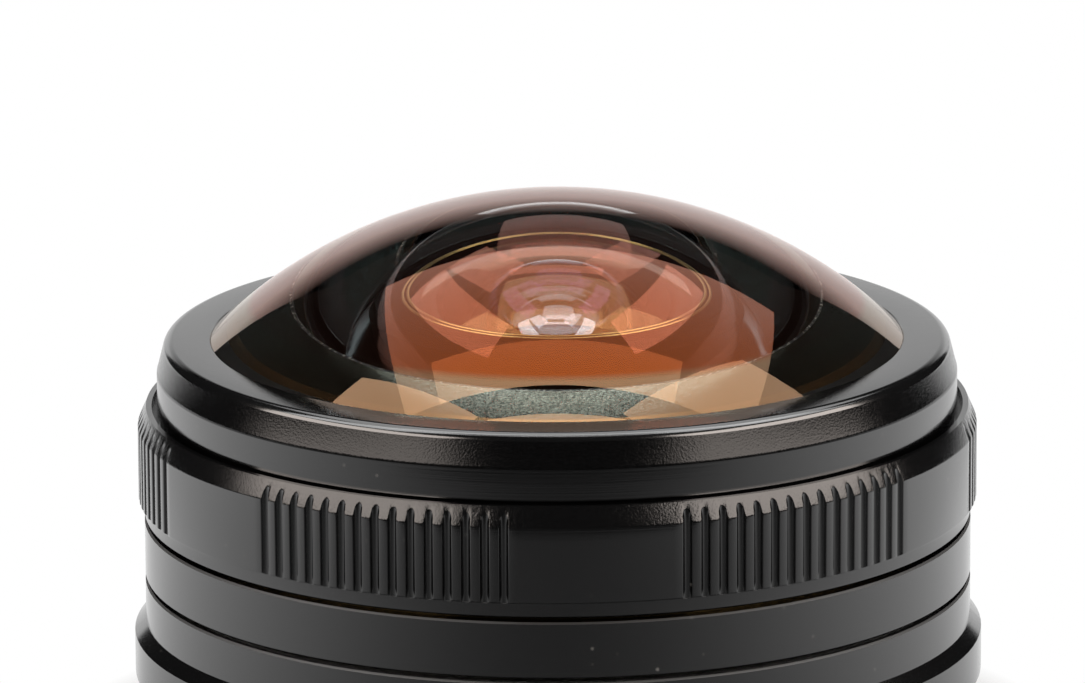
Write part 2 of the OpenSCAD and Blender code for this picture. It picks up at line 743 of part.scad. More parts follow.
module front_element() {
    color("#c8762a", 0.45) difference() {
        intersection() {
            translate([0, 0, z_seat]) cylinder(r = dome_edge_r, h = dome_r);
            translate([0, 0, z_dome_centre]) sphere(r = dome_r);
        }
        translate([0, 0, z_hollow_centre]) sphere(r = hollow_r);
    }
}

module front_gasket() {
    color("#0f0f10") gasket_ring(0, gasket_t - seat_clear);
}

// The gasket lies in a groove just inside the edge of the glass
module gasket_ring(grow, h) {
    middle = dome_edge_r - gasket_inset - gasket_w / 2;
    ring(middle + gasket_w / 2 + grow, middle - gasket_w / 2 - grow, z_seat - gasket_t, h);
}

module front_barrel() {
    wall_r = barrel_r - barrel_wall;
    z_low = z_floor_top + floor_room;
    color("#151517") difference() {
        rotate_extrude() polygon([
            [deck_bore_r, z_deck], [wall_r, z_deck], [wall_r, z_low], [barrel_r, z_low],
            [barrel_r, z_skirt], [thread_r, z_skirt], [thread_r, z_shoulder], [dome_edge_r, z_shoulder],
            [dome_edge_r, z_seat - seat_clear], [hollow_rim_r + rim_land, z_seat - seat_clear],
            [deck_bore_r, z_seat - rim_bevel]]);
        gasket_ring(seat_clear, gasket_t);
        drive_window(barrel_r + over, wall_r - over, focus_travel);
        rotate([0, 0, key_angle]) translate([wall_r - over, -key_w / 2 - run_clear, z_low - over])
            cube([barrel_wall + 2 * over, key_w + 2 * run_clear, z_key + key_h + key_room - z_low + over]);
        pattern(screw_count, screw_start) translate([cell_screw_circle, 0, z_cell_flange])
            cylinder(r = cell_screw_r + seat_clear, h = cell_screw_l + seat_clear);
    }
}

module front_cell() {
    z_second_step = z_second_ring - 2 * seat_clear;
    z_third_step = z_third_ring - 2 * seat_clear;
    color("#161618") difference() {
        rotate_extrude() polygon([
            [cell_hole_r, z_iris_top], [cell_r, z_iris_top], [cell_r, z_cell_flange],
            [cell_flange_r, z_cell_flange], [cell_flange_r, z_deck], [cell_spigot_r, z_deck],
            [cell_spigot_r, z_cell_top - cell_chamfer], [cell_spigot_r - cell_chamfer, z_cell_top],
            [second_ring_r + seat_clear, z_cell_top], [second_ring_r + seat_clear, z_second_step],
            [second_r + seat_clear, z_second_step], [second_r + seat_clear, z_second],
            [third_ring_r + seat_clear, z_second], [third_ring_r + seat_clear, z_third_step],
            [third_r + seat_clear, z_third_step], [third_r + seat_clear, z_third],
            [third_clear_d / 2, z_third]]);
        pattern(screw_count, screw_start) {
            translate([cell_screw_circle, 0, z_cell_flange - over])
                cylinder(r = cell_screw_r + seat_clear, h = cell_flange_t + 2 * over);
            translate([iris_screw_circle, 0, z_iris_top - over])
                cylinder(r = cell_screw_r + seat_clear, h = iris_screw_grip + over);
        }
    }
}

// Pan head screw that points up from height z
module pan_screw(z, l) {
    translate([0, 0, z]) cylinder(r = cell_screw_r, h = l);
    translate([0, 0, z - screw_head_h]) difference() {
        cylinder(r = screw_head_d / 2, h = screw_head_h);
        cross_recess(cell_screw_d, screw_head_h / 2);
    }
}

module front_cell_screws() {
    color("#3a3a3c") pattern(screw_count, screw_start) translate([cell_screw_circle, 0, 0])
        pan_screw(z_cell_flange, cell_screw_l);
}

module second_element() {
    color("#caa25a", 0.45) difference() {
        lens(second_r, z_second_apex, z_second, second_front_r, 0);
        translate([0, 0, z_second_hollow]) sphere(r = second_hollow_r);
    }
}

module second_element_ring() {
    color("#232325") ring(second_ring_r, second_clear_d / 2, z_second_ring, holding_ring_t);
}

module third_element() {
    color("#8f7bb0", 0.45) lens(third_r, z_third_apex, z_third, third_front_r, 0);
}

module third_element_ring() {
    color("#232325") ring(third_ring_r, third_clear_d / 2, z_third_ring, holding_ring_t);
}

module iris_housing() {
    half = asin(rotor_arm_w / 2 / rotor_r) + arm_margin;
    color("#202022") difference() {
        rotate_extrude() polygon([
            [housing_r, z_cover], [cell_r, z_cover], [cell_r, z_iris_top], [pivot_plate_hole_r, z_iris_top],
            [pivot_plate_hole_r, z_pivot_plate], [housing_r, z_pivot_plate]]);
        pattern(blades, 0) translate([pivot_r, 0, z_pivot_plate - over])
            cylinder(r = blade_pin_r + pin_clear, h = pivot_hole_depth + over);
        arc_slot(cell_r + over, housing_r - over / 2, z_cover - over, z_rotor_top + arm_room - z_cover + over,
            drive_angle - half, drive_angle + aperture_turn + half);
        pattern(screw_count, screw_start) translate([iris_screw_circle, 0, z_cover - over])
            cylinder(r = cell_screw_r + seat_clear, h = z_iris_top - z_cover + 2 * over);
    }
}

module iris_cover() {
    color("#2b2b2d") ring(housing_r - seat_clear, cover_hole_r, z_cover, iris_cover_t);
}

module iris_rotor() {
    slot_w = drive_pin_r + run_clear / 2;
    color("#a88a4c") difference() {
        translate([0, 0, z_rotor]) linear_extrude(rotor_t) difference() {
            union() {
                circle(r = rotor_r);
                rotate(drive_angle) translate([0, -rotor_arm_w / 2]) square([rotor_arm_r, rotor_arm_w]);
            }
            circle(r = rotor_hole_r);
            rotate(drive_angle) translate([rotor_arm_r - fork_depth, -slot_w])
                square([fork_depth + over, 2 * slot_w]);
            for (k = [0 : blades - 1]) rotate(360 * k / blades) cam_slot();
        }
    }
}

// Curved slot that follows a drive pin while blade and rotor turn in step
module cam_slot() {
    half = blade_pin_r + pin_clear;
    first = cam_angle(0);
    last = cam_angle(cam_steps);
    turns = [for (i = [1 : cam_end_steps - 1]) -180 * i / cam_end_steps];
    polygon(concat(
        [for (i = [0 : cam_steps]) cam_point(cam_angle(i)) + half * cam_side(cam_angle(i))],
        [for (t = turns) cam_point(last) + half * turned(cam_side(last), t)],
        [for (i = [cam_steps : -1 : 0]) cam_point(cam_angle(i)) - half * cam_side(cam_angle(i))],
        [for (t = turns) cam_point(first) - half * turned(cam_side(first), t)]));
}

module iris_blade(k) {
    z = z_blades + k * blade_step;
    z_pin_top = z_pivot_plate + pivot_hole_depth - pin_end_room;
    z_pin_low = z_rotor + pin_end_room;
    color("#2e2e31") rotate([0, 0, 360 * k / blades]) {
        translate([0, 0, z]) linear_extrude(blade_t) blade_outline();
        translate([pivot_r, 0, z]) cylinder(r = blade_pin_r, h = z_pin_top - z);
        translate(concat(drive_point(0), z_pin_low)) cylinder(r = blade_pin_r, h = z + blade_t - z_pin_low);
    }
}

// An arc round the open aperture, with a lug for the two pins outside it
module blade_outline() {
    middle = (open_r + blade_outer_r) / 2;
    difference() {
        circle(r = blade_outer_r);
        circle(r = open_r);
        sector(blade_outer_r, blade_arc, 360 - blade_tail);
    }
    translate(polar(middle, blade_arc)) circle(r = (blade_outer_r - open_r) / 2);
    bar([middle, 0], [pivot_r, 0], lug_r);
    bar([pivot_r, 0], drive_point(0), lug_r);
}

// Part of a disc between two directions
module sector(r, from, to) {
    polygon(concat([[0, 0]],
        [for (i = [0 : sector_steps]) polar(2 * r, from + (to - from) * i / sector_steps)]));
}

// Straight bar with round ends
module bar(a, b, half) {
    side = half * [a.y - b.y, b.x - a.x] / norm(b - a);
    polygon([a + side, b + side, b - side, a - side]);
    translate(a) circle(r = half);
    translate(b) circle(r = half);
}

module rear_cell() {
    z_ledge = z_fourth - sag(fourth_front_r, rear_clear_r) + seat_clear;
    color("#161618") difference() {
        rotate_extrude() polygon([
            [rear_clear_r, z_cover], [cell_r, z_cover], [cell_r, z_rear_flange],
            [rear_cell_r, z_rear_flange], [rear_cell_r, z_rear_end + cell_chamfer],
            [rear_cell_r - cell_chamfer, z_rear_end], [rear_bore_r, z_rear_end], [rear_bore_r, z_ledge],
            [rear_clear_r, z_ledge]]);
        pattern(screw_count, screw_start) translate([iris_screw_circle, 0, z_rear_flange - over])
            cylinder(r = cell_screw_r + seat_clear, h = rear_flange_t + 2 * over);
    }
}

module rear_cell_screws() {
    color("#3a3a3c") pattern(screw_count, screw_start) translate([iris_screw_circle, 0, 0])
        pan_screw(z_rear_flange, z_iris_top + iris_screw_grip - seat_clear - z_rear_flange);
}

module fourth_element() {
    color("#b8c8d8", 0.45) lens(rear_r, z_fourth, z_fourth_back, fourth_front_r, fourth_rear_r);
}

module fourth_element_spacer() {
    top = z_fourth_back + sag(fourth_rear_r, rear_clear_r) - seat_clear;
    bottom = z_doublet - sag(doublet_front_r, rear_clear_r) + seat_clear;
    color("#1c1c1e") ring(rear_r, rear_clear_r, bottom, top - bottom);
}

module doublet_front_element() {
    color("#c4d2e0", 0.45) lens(rear_r, z_doublet, z_cement, doublet_front_r, cement_r);
}

module doublet_rear_element() {
    z_cup = z_cement + cement_r;
    cup_r = cement_r + seat_clear;
    color("#a9b8c8", 0.45) difference() {
        translate([0, 0, z_doublet_rim])
            cylinder(r = rear_r, h = z_cup - sqrt(cup_r * cup_r - rear_r * rear_r) - z_doublet_rim);
        translate([0, 0, z_cup]) sphere(r = cup_r);
        translate([0, 0, z_doublet_back - doublet_rear_r]) sphere(r = doublet_rear_r);
    }
}

module rear_spacer() {
    bottom = z_rear - sag(rear_front_r, rear_clear_r) + seat_clear;
    color("#1c1c1e") ring(rear_r, rear_clear_r, bottom, z_doublet_rim - seat_clear - bottom);
}

module rear_element() {
    color("#b8c8d8", 0.45) lens(rear_r, z_rear, z_rear_back, rear_front_r, rear_rear_r);
}

module rear_element_ring() {
    color("#232325") ring(rear_r, rear_clear_r, z_rear_end, rear_ring_t);
}

base_barrel();
bayonet_plate();
bayonet_screws();
mount_dot();
rear_baffle();
glide_washer();
aperture_ring_nut();
focus_ring_nut();
guide_key();
focus_ring();
helicoid_nut();
focus_stop_pin();
aperture_ring();
aperture_drive_pin();
front_bezel();
front_element();
front_gasket();
front_barrel();
helicoid_sleeve();
front_cell();
front_cell_screws();
second_element();
second_element_ring();
third_element();
third_element_ring();
iris_housing();
iris_cover();
rear_cell();
rear_cell_screws();
fourth_element();
fourth_element_spacer();
doublet_front_element();
doublet_rear_element();
rear_spacer();
rear_element();
rear_element_ring();
iris_rotor();
iris_blade(0);  // iris_blade_1
iris_blade(1);  // iris_blade_2
iris_blade(2);  // iris_blade_3
iris_blade(3);  // iris_blade_4
iris_blade(4);  // iris_blade_5
iris_blade(5);  // iris_blade_6
iris_blade(6);  // iris_blade_7
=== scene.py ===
"""Dresses the fisheye lens: fine glass, grooved and grained black metal, and a white studio.

Every length is in metres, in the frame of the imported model, with the mounting flange at z = 0.
"""

import json
import math

import bpy
from mathutils import Matrix, Vector


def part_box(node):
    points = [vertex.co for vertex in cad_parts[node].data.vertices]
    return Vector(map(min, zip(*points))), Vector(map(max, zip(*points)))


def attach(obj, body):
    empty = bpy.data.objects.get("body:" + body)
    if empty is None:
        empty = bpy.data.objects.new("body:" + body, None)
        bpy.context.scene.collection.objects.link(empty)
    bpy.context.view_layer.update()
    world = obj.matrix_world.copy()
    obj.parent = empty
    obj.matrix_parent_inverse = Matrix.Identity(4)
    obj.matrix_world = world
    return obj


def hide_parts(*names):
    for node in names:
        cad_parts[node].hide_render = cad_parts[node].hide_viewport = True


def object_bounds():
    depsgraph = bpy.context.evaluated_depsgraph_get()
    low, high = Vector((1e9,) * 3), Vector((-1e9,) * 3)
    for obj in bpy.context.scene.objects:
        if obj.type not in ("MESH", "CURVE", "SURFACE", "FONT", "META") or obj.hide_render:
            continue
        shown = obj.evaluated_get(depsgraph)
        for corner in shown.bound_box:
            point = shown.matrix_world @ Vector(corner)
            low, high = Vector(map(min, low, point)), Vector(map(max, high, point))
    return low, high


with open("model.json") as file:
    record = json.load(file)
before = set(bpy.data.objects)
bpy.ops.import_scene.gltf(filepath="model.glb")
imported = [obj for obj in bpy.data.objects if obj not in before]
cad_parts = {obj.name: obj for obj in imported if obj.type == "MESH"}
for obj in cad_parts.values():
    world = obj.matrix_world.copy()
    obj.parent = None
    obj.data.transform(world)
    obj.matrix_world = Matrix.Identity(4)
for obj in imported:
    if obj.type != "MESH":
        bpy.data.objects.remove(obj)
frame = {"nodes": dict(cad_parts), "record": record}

bl_info = {
    "name": "Fisheye lens",
    "version": (1, 0, 0),
    "blender": (4, 5, 0),
    "location": "View3D > Sidebar > Fisheye lens",
    "description": "Builds the looks of a compact circular fisheye lens around its CAD frame",
    "category": "Object",
}

MM = 0.001
CAD_BOX = [list(map(float, corner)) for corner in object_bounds()]

# Fineness and tolerances of the meshes
ROUND_STEPS = 288
BEZEL_STEPS = 384
DOME_STEPS = 120
HOLLOW_STEPS = 96
SECOND_STEPS = 72
SECOND_HOLLOW_STEPS = 48
THIRD_STEPS = 48
SHARP_ANGLE = math.radians(32)
ON_AXIS = 1e-7
HAIR = 1e-6
ON_CURVE = 0.05 * MM

# Refractive indices
FRONT_INDEX = 1.6
INNER_INDEX = 1.7
LACQUER_INDEX = 1.8


def node_top(node):
    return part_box(node)[1].z


def node_bottom(node):
    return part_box(node)[0].z


def node_radius(node):
    low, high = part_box(node)
    return max(high.x, high.y, -low.x, -low.y)


# Settings


def length(name, description, default):
    """A size in metres that shows in the user's own unit."""
    return bpy.props.FloatProperty(
        name=name, description=description, default=default, unit="LENGTH", precision=5
    )


def angle(name, description, degrees):
    return bpy.props.FloatProperty(
        name=name, description=description, default=math.radians(degrees), subtype="ANGLE"
    )


def tint(name, description, default):
    return bpy.props.FloatVectorProperty(
        name=name, description=description, default=default, size=3, subtype="COLOR", min=0, max=1
    )


def share(name, description, default):
    return bpy.props.FloatProperty(
        name=name, description=description, default=default, subtype="FACTOR", min=0, max=1
    )


def number(name, description, default):
    return bpy.props.FloatProperty(name=name, description=description, default=default)


def count(name, description, default):
    return bpy.props.IntProperty(name=name, description=description, default=default, min=1)


class GlassSettings(bpy.types.PropertyGroup):
    """Curves and coatings of the front elements."""

    dome_curve: length("Dome radius", "Radius of the front element's outer surface", 26.53 * MM)
    dome_thickness: length("Dome thickness", "Thickness in the middle of the front element", 1.01 * MM)
    hollow_rim: length("Hollow rim radius", "Radius where the hollow meets the rear rim", 11.9 * MM)
    matt_rim: length("Matt rim", "Width of the matt black edge of the rear rim", 3.2 * MM)
    amber_rim: length("Amber rim", "Width of the amber zone inside the matt edge", 0.75 * MM)
    second_curve: length("Second front radius", "Radius of the second element's front", 16 * MM)
    second_thickness: length("Second thickness", "Thickness in its middle", 1.45 * MM)
    second_hollow_rim: length("Second hollow rim", "Radius of its hollow at the rim", 6 * MM)
    third_curve: length("Third front radius", "Radius of the third element's front", 6.7 * MM)
    front_coat: tint("Front coating", "Tint of what the outer surface reflects", (1.0, 0.2, 0.015))
    steep_coat: tint("Steep coating", "Tint of the front coating at its steep edge", (1.0, 0.75, 0.42))
    steep_start: length("Steep start", "Radius where the front coating begins to thin", 16.1 * MM)
    steep_end: length("Steep end", "Radius where the front coating has thinned", 16.5 * MM)
    hollow_coat: tint("Hollow coating", "Tint of what the hollow reflects", (1.0, 0.3, 0.18))
    second_coat: tint("Second coating", "Tint of the second element's mirroring", (1.0, 0.42, 0.14))
    third_coat: tint("Third coating", "Tint of the third element's mirroring", (1.0, 0.8, 0.82))
    inner_coat: tint("Inner coating", "Tint of what the inner surfaces reflect", (0.55, 0.16, 0.36))
    rim_paint: tint("Rim paint", "Colour of the paint on the ground rear rim", (0.022, 0.032, 0.030))
    rim_shine: tint("Rim shine", "Tint of the light from the ground rear rim", (0.97, 1.0, 0.82))
    edge_shine: tint("Edge shine", "Tint of the light from the amber zone", (1.0, 0.6, 0.29))


class MetalSettings(bpy.types.PropertyGroup):
    """Finishes of the metal pieces."""

    black: tint("Black anodising", "Colour of the satin black rings", (0.003, 0.003, 0.0032))
    inner_black: tint("Inner black", "Colour of the blackened inner pieces", (0.01, 0.01, 0.01))
    chrome: tint("Mount chrome", "Colour of the plated bayonet", (0.72, 0.71, 0.69))
    steel: tint("Steel", "Colour of the screws, pins and key", (0.5, 0.5, 0.5))
    brass: tint("Brass", "Colour of the helicoid", (0.72, 0.5, 0.2))
    gilt: tint("Gilt edge", "Colour of the bevels of the second element's ring", (0.68, 0.4, 0.15))
    red: tint("Mount dot", "Colour of the alignment dot's paint", (0.6, 0.02, 0.015))
    satin: share("Satin roughness", "Roughness of the smooth rings", 0.13)
    edge: share("Edge roughness", "Roughness of the broken edges of the rings", 0.6)
    polished: share("Polished roughness", "Roughness of the bezel's top face", 0.09)
    grained: share("Grained roughness", "Roughness of the blasted cone and chamfer", 0.17)


class GripSettings(bpy.types.PropertyGroup):
    """The focus ring's grip and the bezel's shoulder."""

    groups: count("Groove groups", "Groups of grooves", 6)
    grooves: count("Grooves", "Grooves in each group", 15)
    pitch: angle("Groove pitch", "Angle from groove to groove", 2.54)
    start: angle("First group", "Angle of the first group from the front", 35.1)
    groove_width: length("Groove width", "Width of a groove", 0.48 * MM)
    groove_depth: length("Groove depth", "Depth of a groove", 0.3 * MM)
    chamfer_height: length("Chamfer height", "Height of the grip's upper chamfer", 1.02 * MM)
    chamfer_width: length("Chamfer width", "Width of the grip's upper chamfer", 0.45 * MM)
    land_width: length("Land width", "Width of the flat land inside the chamfer", 0.3 * MM)
    lip_height: length("Lip height", "Height of the lip below the grip", 0.76 * MM)
    lip_radius: length("Lip radius", "Radius of the lip below the grip", 21.97 * MM)
    cone_width: length("Cone width", "Width of the bezel's cone", 0.88 * MM)
    wall_height: length("Wall height", "Height of the bezel's wall above the focus ring", 1.88 * MM)
    shoulder_radius: length("Shoulder radius", "Radius of the bezel's rounded edge", 0.55 * MM)


class StudioSettings(bpy.types.PropertyGroup):
    """Camera and studio."""

    distance: length("Camera distance", "Distance of the camera from the point it circles", 0.5007)
    aim_height: length("Aim height", "Height of the point that the camera circles", 17.944 * MM)
    elevation: angle("Elevation", "Angle of the camera above the horizon", 14.093)
    yaw: angle("Yaw", "Turn of the camera to the right", -0.087)
    pitch: angle("Pitch", "Tilt of the camera upwards", -0.02)
    roll: angle("Roll", "Roll of the camera", -0.265)
    lens: number("Focal length", "Focal length in millimetres on a 36 mm sensor", 312.96)
    top_level: number("Overhead light", "Radiance of the overhead softbox", 1.2)
    side_level: number("Side light", "Radiance of the side softboxes", 2.2)
    dark_side: number("Dark side", "Radiance of the unlit studio", 0.018)
    warm: tint("Warm light", "Colour of the softboxes beside the camera", (1.0, 0.9, 0.83))
    backdrop: tint("Backdrop", "Colour of the floor and backdrop", (0.86, 0.86, 0.86))


# Mesh helpers


def arc(centre, radius, start, end, steps):
    """Points on an arc in the profile plane, from one angle in degrees to another."""
    points = []
    for i in range(steps + 1):
        a = math.radians(start + (end - start) * i / steps)
        points.append((centre[0] + radius * math.cos(a), centre[1] + radius * math.sin(a)))
    return points


def cap_radius(height, foot):
    """Radius of the sphere whose cap has this height and this radius at its foot."""
    return (height * height + foot * foot) / (2 * height)


def dome_arc(apex, curve, outer, steps):
    """Profile of a spherical cap from the axis out to a radius, with its apex at a height."""
    reach = math.degrees(math.asin(outer / curve))
    return arc((0, apex - curve), curve, 90, 90 - reach, steps)


def soft_corner(before, corner, after, cut, steps=4):
    """Points that round a profile's corner, starting and ending a cut away from it."""
    here = Vector(corner)
    a = here + (Vector(before) - here).normalized() * cut
    b = here + (Vector(after) - here).normalized() * cut
    points = []
    for k in range(steps + 1):
        t = k / steps
        points.append(tuple(a * (1 - t) ** 2 + here * 2 * t * (1 - t) + b * t * t))
    return points


def finish_mesh(name, vertices, faces, slots):
    """A smooth object whose sharp edges stay sharp, linked to the scene."""
    mesh = bpy.data.meshes.new(name)
    mesh.from_pydata(vertices, [], faces)
    mesh.polygons.foreach_set("material_index", slots)
    mesh.validate()
    mesh.shade_smooth()
    mesh.set_sharp_from_angle(angle=SHARP_ANGLE)
    piece = bpy.data.objects.new(name, mesh)
    bpy.context.scene.collection.objects.link(piece)
    return piece


def lathe(name, profile, slot_of=None, steps=ROUND_STEPS):
    """Turns a closed profile about the axis; slot_of(r, z) gives a face's slot by its middle."""
    vertices = []
    rows = []
    for r, z in profile:
        if r < ON_AXIS:
            rows.append([len(vertices)] * steps)
            vertices.append((0, 0, z))
            continue
        rows.append(list(range(len(vertices), len(vertices) + steps)))
        for k in range(steps):
            a = 2 * math.pi * k / steps
            vertices.append((r * math.cos(a), r * math.sin(a), z))
    faces = []
    slots = []
    for i in range(len(profile)):
        j = (i + 1) % len(profile)
        (r0, z0), (r1, z1) = profile[i], profile[j]
        if r0 < ON_AXIS and r1 < ON_AXIS:
            continue
        slot = slot_of((r0 + r1) / 2, (z0 + z1) / 2) if slot_of else 0
        for k in range(steps):
            n = (k + 1) % steps
            quad = [rows[i][k], rows[j][k], rows[j][n], rows[i][n]]
            faces.append(list(dict.fromkeys(quad)))
            slots.append(slot)
    return finish_mesh(name, vertices, faces, slots)


def dress(piece, body, materials, slot, *nodes):
    """Gives a piece its materials and its body, and hides the nodes that it stands for; slot is not
    used.
    """
    for material in materials:
        piece.data.materials.append(material)
    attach(piece, body)
    if nodes:
        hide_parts(*nodes)


# Shader nodes


def once(make):
    """Makes a group or material the first time and gives the same one after that."""
    kept = {}

    def give():
        if "made" not in kept:
            kept["made"] = make()
        return kept["made"]

    return give


def math_node(tree, operation, a, b):
    node = tree.nodes.new("ShaderNodeMath")
    node.operation = operation
    for socket, value in zip(node.inputs, (a, b)):
        if isinstance(value, (int, float)):
            socket.default_value = value
        else:
            tree.links.new(value, socket)
    return node.outputs[0]


def product(tree, a, b):
    return math_node(tree, "MULTIPLY", a, b)


def ramp(tree, value, low, high):
    """Maps a value from low..high to 0..1."""
    node = tree.nodes.new("ShaderNodeMapRange")
    node.inputs["From Min"].default_value = low
    node.inputs["From Max"].default_value = high
    tree.links.new(value, node.inputs["Value"])
    return node.outputs["Result"]


def varied(tree, mask, low, high):
    """A value that runs from low to high with a mask."""
    node = tree.nodes.new("ShaderNodeMapRange")
    node.inputs["To Min"].default_value = low
    node.inputs["To Max"].default_value = high
    tree.links.new(mask, node.inputs["Value"])
    return node.outputs["Result"]


def noise(tree, place, scale, detail):
    node = tree.nodes.new("ShaderNodeTexNoise")
    node.inputs["Detail"].default_value = detail
    if isinstance(scale, (int, float)):
        node.inputs["Scale"].default_value = scale
    else:
        tree.links.new(scale, node.inputs["Scale"])
    tree.links.new(place, node.inputs["Vector"])
    return node.outputs["Fac"]


def object_place(tree):
    return tree.nodes.new("ShaderNodeTexCoord").outputs["Object"]


def coordinates(tree, vector):
    """The X, Y and Z of a vector."""
    split = tree.nodes.new("ShaderNodeSeparateXYZ")
    tree.links.new(vector, split.inputs[0])
    return split.outputs["X"], split.outputs["Y"], split.outputs["Z"]


def from_axis(tree, x, y):
    """Distance from the lens's axis."""
    square = math_node(tree, "ADD", product(tree, x, x), product(tree, y, y))
    return math_node(tree, "SQRT", square, 0.0)


def colour_mix(tree, mask):
    """A colour mix that follows a mask, as its two colour inputs and its result."""
    node = tree.nodes.new("ShaderNodeMix")
    node.data_type = "RGBA"
    tree.links.new(mask, node.inputs["Factor"])
    return node.inputs[6], node.inputs[7], node.outputs[2]


def mixed_colour(tree, mask, low, high):
    """A colour that runs from low to high with a mask."""
    first, second, result = colour_mix(tree, mask)
    first.default_value = (*low, 1)
    second.default_value = (*high, 1)
    return result


def times(colour, factor):
    return [c * factor for c in colour]


def toned(tree, mask, colour, low, high):
    """One colour, from low times to high times as bright with a mask."""
    return mixed_colour(tree, mask, times(colour, low), times(colour, high))


def bump(tree, shader, height, depth):
    node = tree.nodes.new("ShaderNodeBump")
    node.inputs["Distance"].default_value = depth
    node.inputs["Strength"].default_value = 1.0
    tree.links.new(height, node.inputs["Height"])
    tree.links.new(node.outputs["Normal"], shader.inputs["Normal"])


def mixed_shader(tree, share_of_second, first, second):
    """Mixes two shaders, by a number or a mask, into the material's surface."""
    mix = tree.nodes.new("ShaderNodeMixShader")
    if isinstance(share_of_second, (int, float)):
        mix.inputs[0].default_value = share_of_second
    else:
        tree.links.new(share_of_second, mix.inputs[0])
    tree.links.new(first.outputs[0], mix.inputs[1])
    tree.links.new(second.outputs[0], mix.inputs[2])
    tree.links.new(mix.outputs[0], tree.nodes["Material Output"].inputs["Surface"])


# Shader node groups


def new_group(name, inputs, outputs):
    """An empty shader group; inputs are (name, type, default) rows and outputs (name, type) rows."""
    group = bpy.data.node_groups.new(name, "ShaderNodeTree")
    for label, kind, default in inputs:
        socket = group.interface.new_socket(label, in_out="INPUT", socket_type=kind)
        socket.default_value = default
    for label, kind in outputs:
        group.interface.new_socket(label, in_out="OUTPUT", socket_type=kind)
    return group, group.nodes.new("NodeGroupInput"), group.nodes.new("NodeGroupOutput")


def place_group(tree, group, **values):
    node = tree.nodes.new("ShaderNodeGroup")
    node.node_tree = group
    for label, value in values.items():
        node.inputs[label].default_value = value
    return node


def fine_grain(tree, scale):
    return noise(tree, object_place(tree), scale, detail=3.0)


def speckle(tree, grain):
    """The brighter spots of a grain."""
    return ramp(tree, grain, 0.35, 0.75)


@once
def grain_group():
    """Blasted grain: fine pits for the bump, and a speckle for colour and roughness."""
    group, given, out = new_group(
        "Blasted grain",
        [("Scale", "NodeSocketFloat", 10000.0)],
        [("Height", "NodeSocketFloat"), ("Speckle", "NodeSocketFloat")],
    )
    fine = fine_grain(group, given.outputs["Scale"])
    coarse = noise(group, object_place(group), scale=1500.0, detail=2.0)
    coarse_share = 0.15
    height = math_node(group, "ADD", fine, product(group, coarse, coarse_share))
    group.links.new(height, out.inputs["Height"])
    group.links.new(speckle(group, fine), out.inputs["Speckle"])
    return group


@once
def turning_group():
    """Faint rings left by turning, and soft blotches of the black finish."""
    group, given, out = new_group(
        "Turning marks",
        [("Rings", "NodeSocketFloat", 14000.0), ("Blotch", "NodeSocketFloat", 160.0)],
        [("Height", "NodeSocketFloat"), ("Blotches", "NodeSocketFloat")],
    )
    place = object_place(group)
    x, y, z = coordinates(group, place)
    profile = group.nodes.new("ShaderNodeCombineXYZ")
    group.links.new(from_axis(group, x, y), profile.inputs["X"])
    group.links.new(z, profile.inputs["Z"])
    rings = noise(group, profile.outputs[0], given.outputs["Rings"], detail=2.0)
    blotches = noise(group, place, given.outputs["Blotch"], detail=4.0)
    group.links.new(rings, out.inputs["Height"])
    group.links.new(ramp(group, blotches, 0.35, 0.7), out.inputs["Blotches"])
    return group


@once
def dust_group():
    """Sparse bright specks that lie on the surface in patches."""
    group, given, out = new_group(
        "Dust specks",
        [
            ("Color", "NodeSocketColor", (0.01, 0.01, 0.01, 1)),
            ("Dust", "NodeSocketColor", (0.3, 0.29, 0.27, 1)),
            ("Amount", "NodeSocketFloat", 0.3),
        ],
        [("Color", "NodeSocketColor")],
    )
    place = object_place(group)
    cells = group.nodes.new("ShaderNodeTexVoronoi")
    cells.inputs["Scale"].default_value = 900.0
    group.links.new(place, cells.inputs["Vector"])
    specks = ramp(group, cells.outputs["Distance"], 0.12, 0.04)
    patches = ramp(group, noise(group, place, scale=260.0, detail=3.0), 0.5, 0.7)
    mask = product(group, product(group, specks, patches), given.outputs["Amount"])
    clean, dusty, result = colour_mix(group, mask)
    group.links.new(given.outputs["Color"], clean)
    group.links.new(given.outputs["Dust"], dusty)
    group.links.new(result, out.inputs["Color"])
    return group


# Materials


def metal():
    return bpy.context.scene.lens_metal


def new_material(name, **values):
    """A new material, its nodes, and its Principled shader with plain values on its sockets."""
    material = bpy.data.materials.new(name)
    material.use_nodes = True
    shader = material.node_tree.nodes["Principled BSDF"]
    for label, value in values.items():
        shader.inputs[label].default_value = value
    return material, material.node_tree, shader


def broken_edge(tree):
    """Roughness of the rings' broken edges between base and bezel, duller than their walls."""
    normal = tree.nodes.new("ShaderNodeNewGeometry").outputs["Normal"]
    upward = coordinates(tree, normal)[2]
    off_wall = ramp(tree, upward, 0.12, 0.3)
    off_top = ramp(tree, upward, 0.99, 0.93)
    height = coordinates(tree, object_place(tree))[2]
    above_base = ramp(tree, height, 3.6 * MM, 4.0 * MM)
    below_bezel = ramp(tree, height, 14.4 * MM, 14.0 * MM)
    slope = product(tree, off_wall, off_top)
    zone = product(tree, above_base, below_bezel)
    return product(tree, product(tree, slope, zone), metal().edge)


def lacquered(name):
    """Black lacquer on a turned surface: the material's parts, its marks and its blotched colour."""
    material, tree, shader = new_material(name, **{"IOR": LACQUER_INDEX, "Specular IOR Level": 1.0})
    marks = place_group(tree, turning_group())
    colour = toned(tree, marks.outputs["Blotches"], metal().black, low=0.75, high=1.25)
    return material, tree, shader, marks, colour


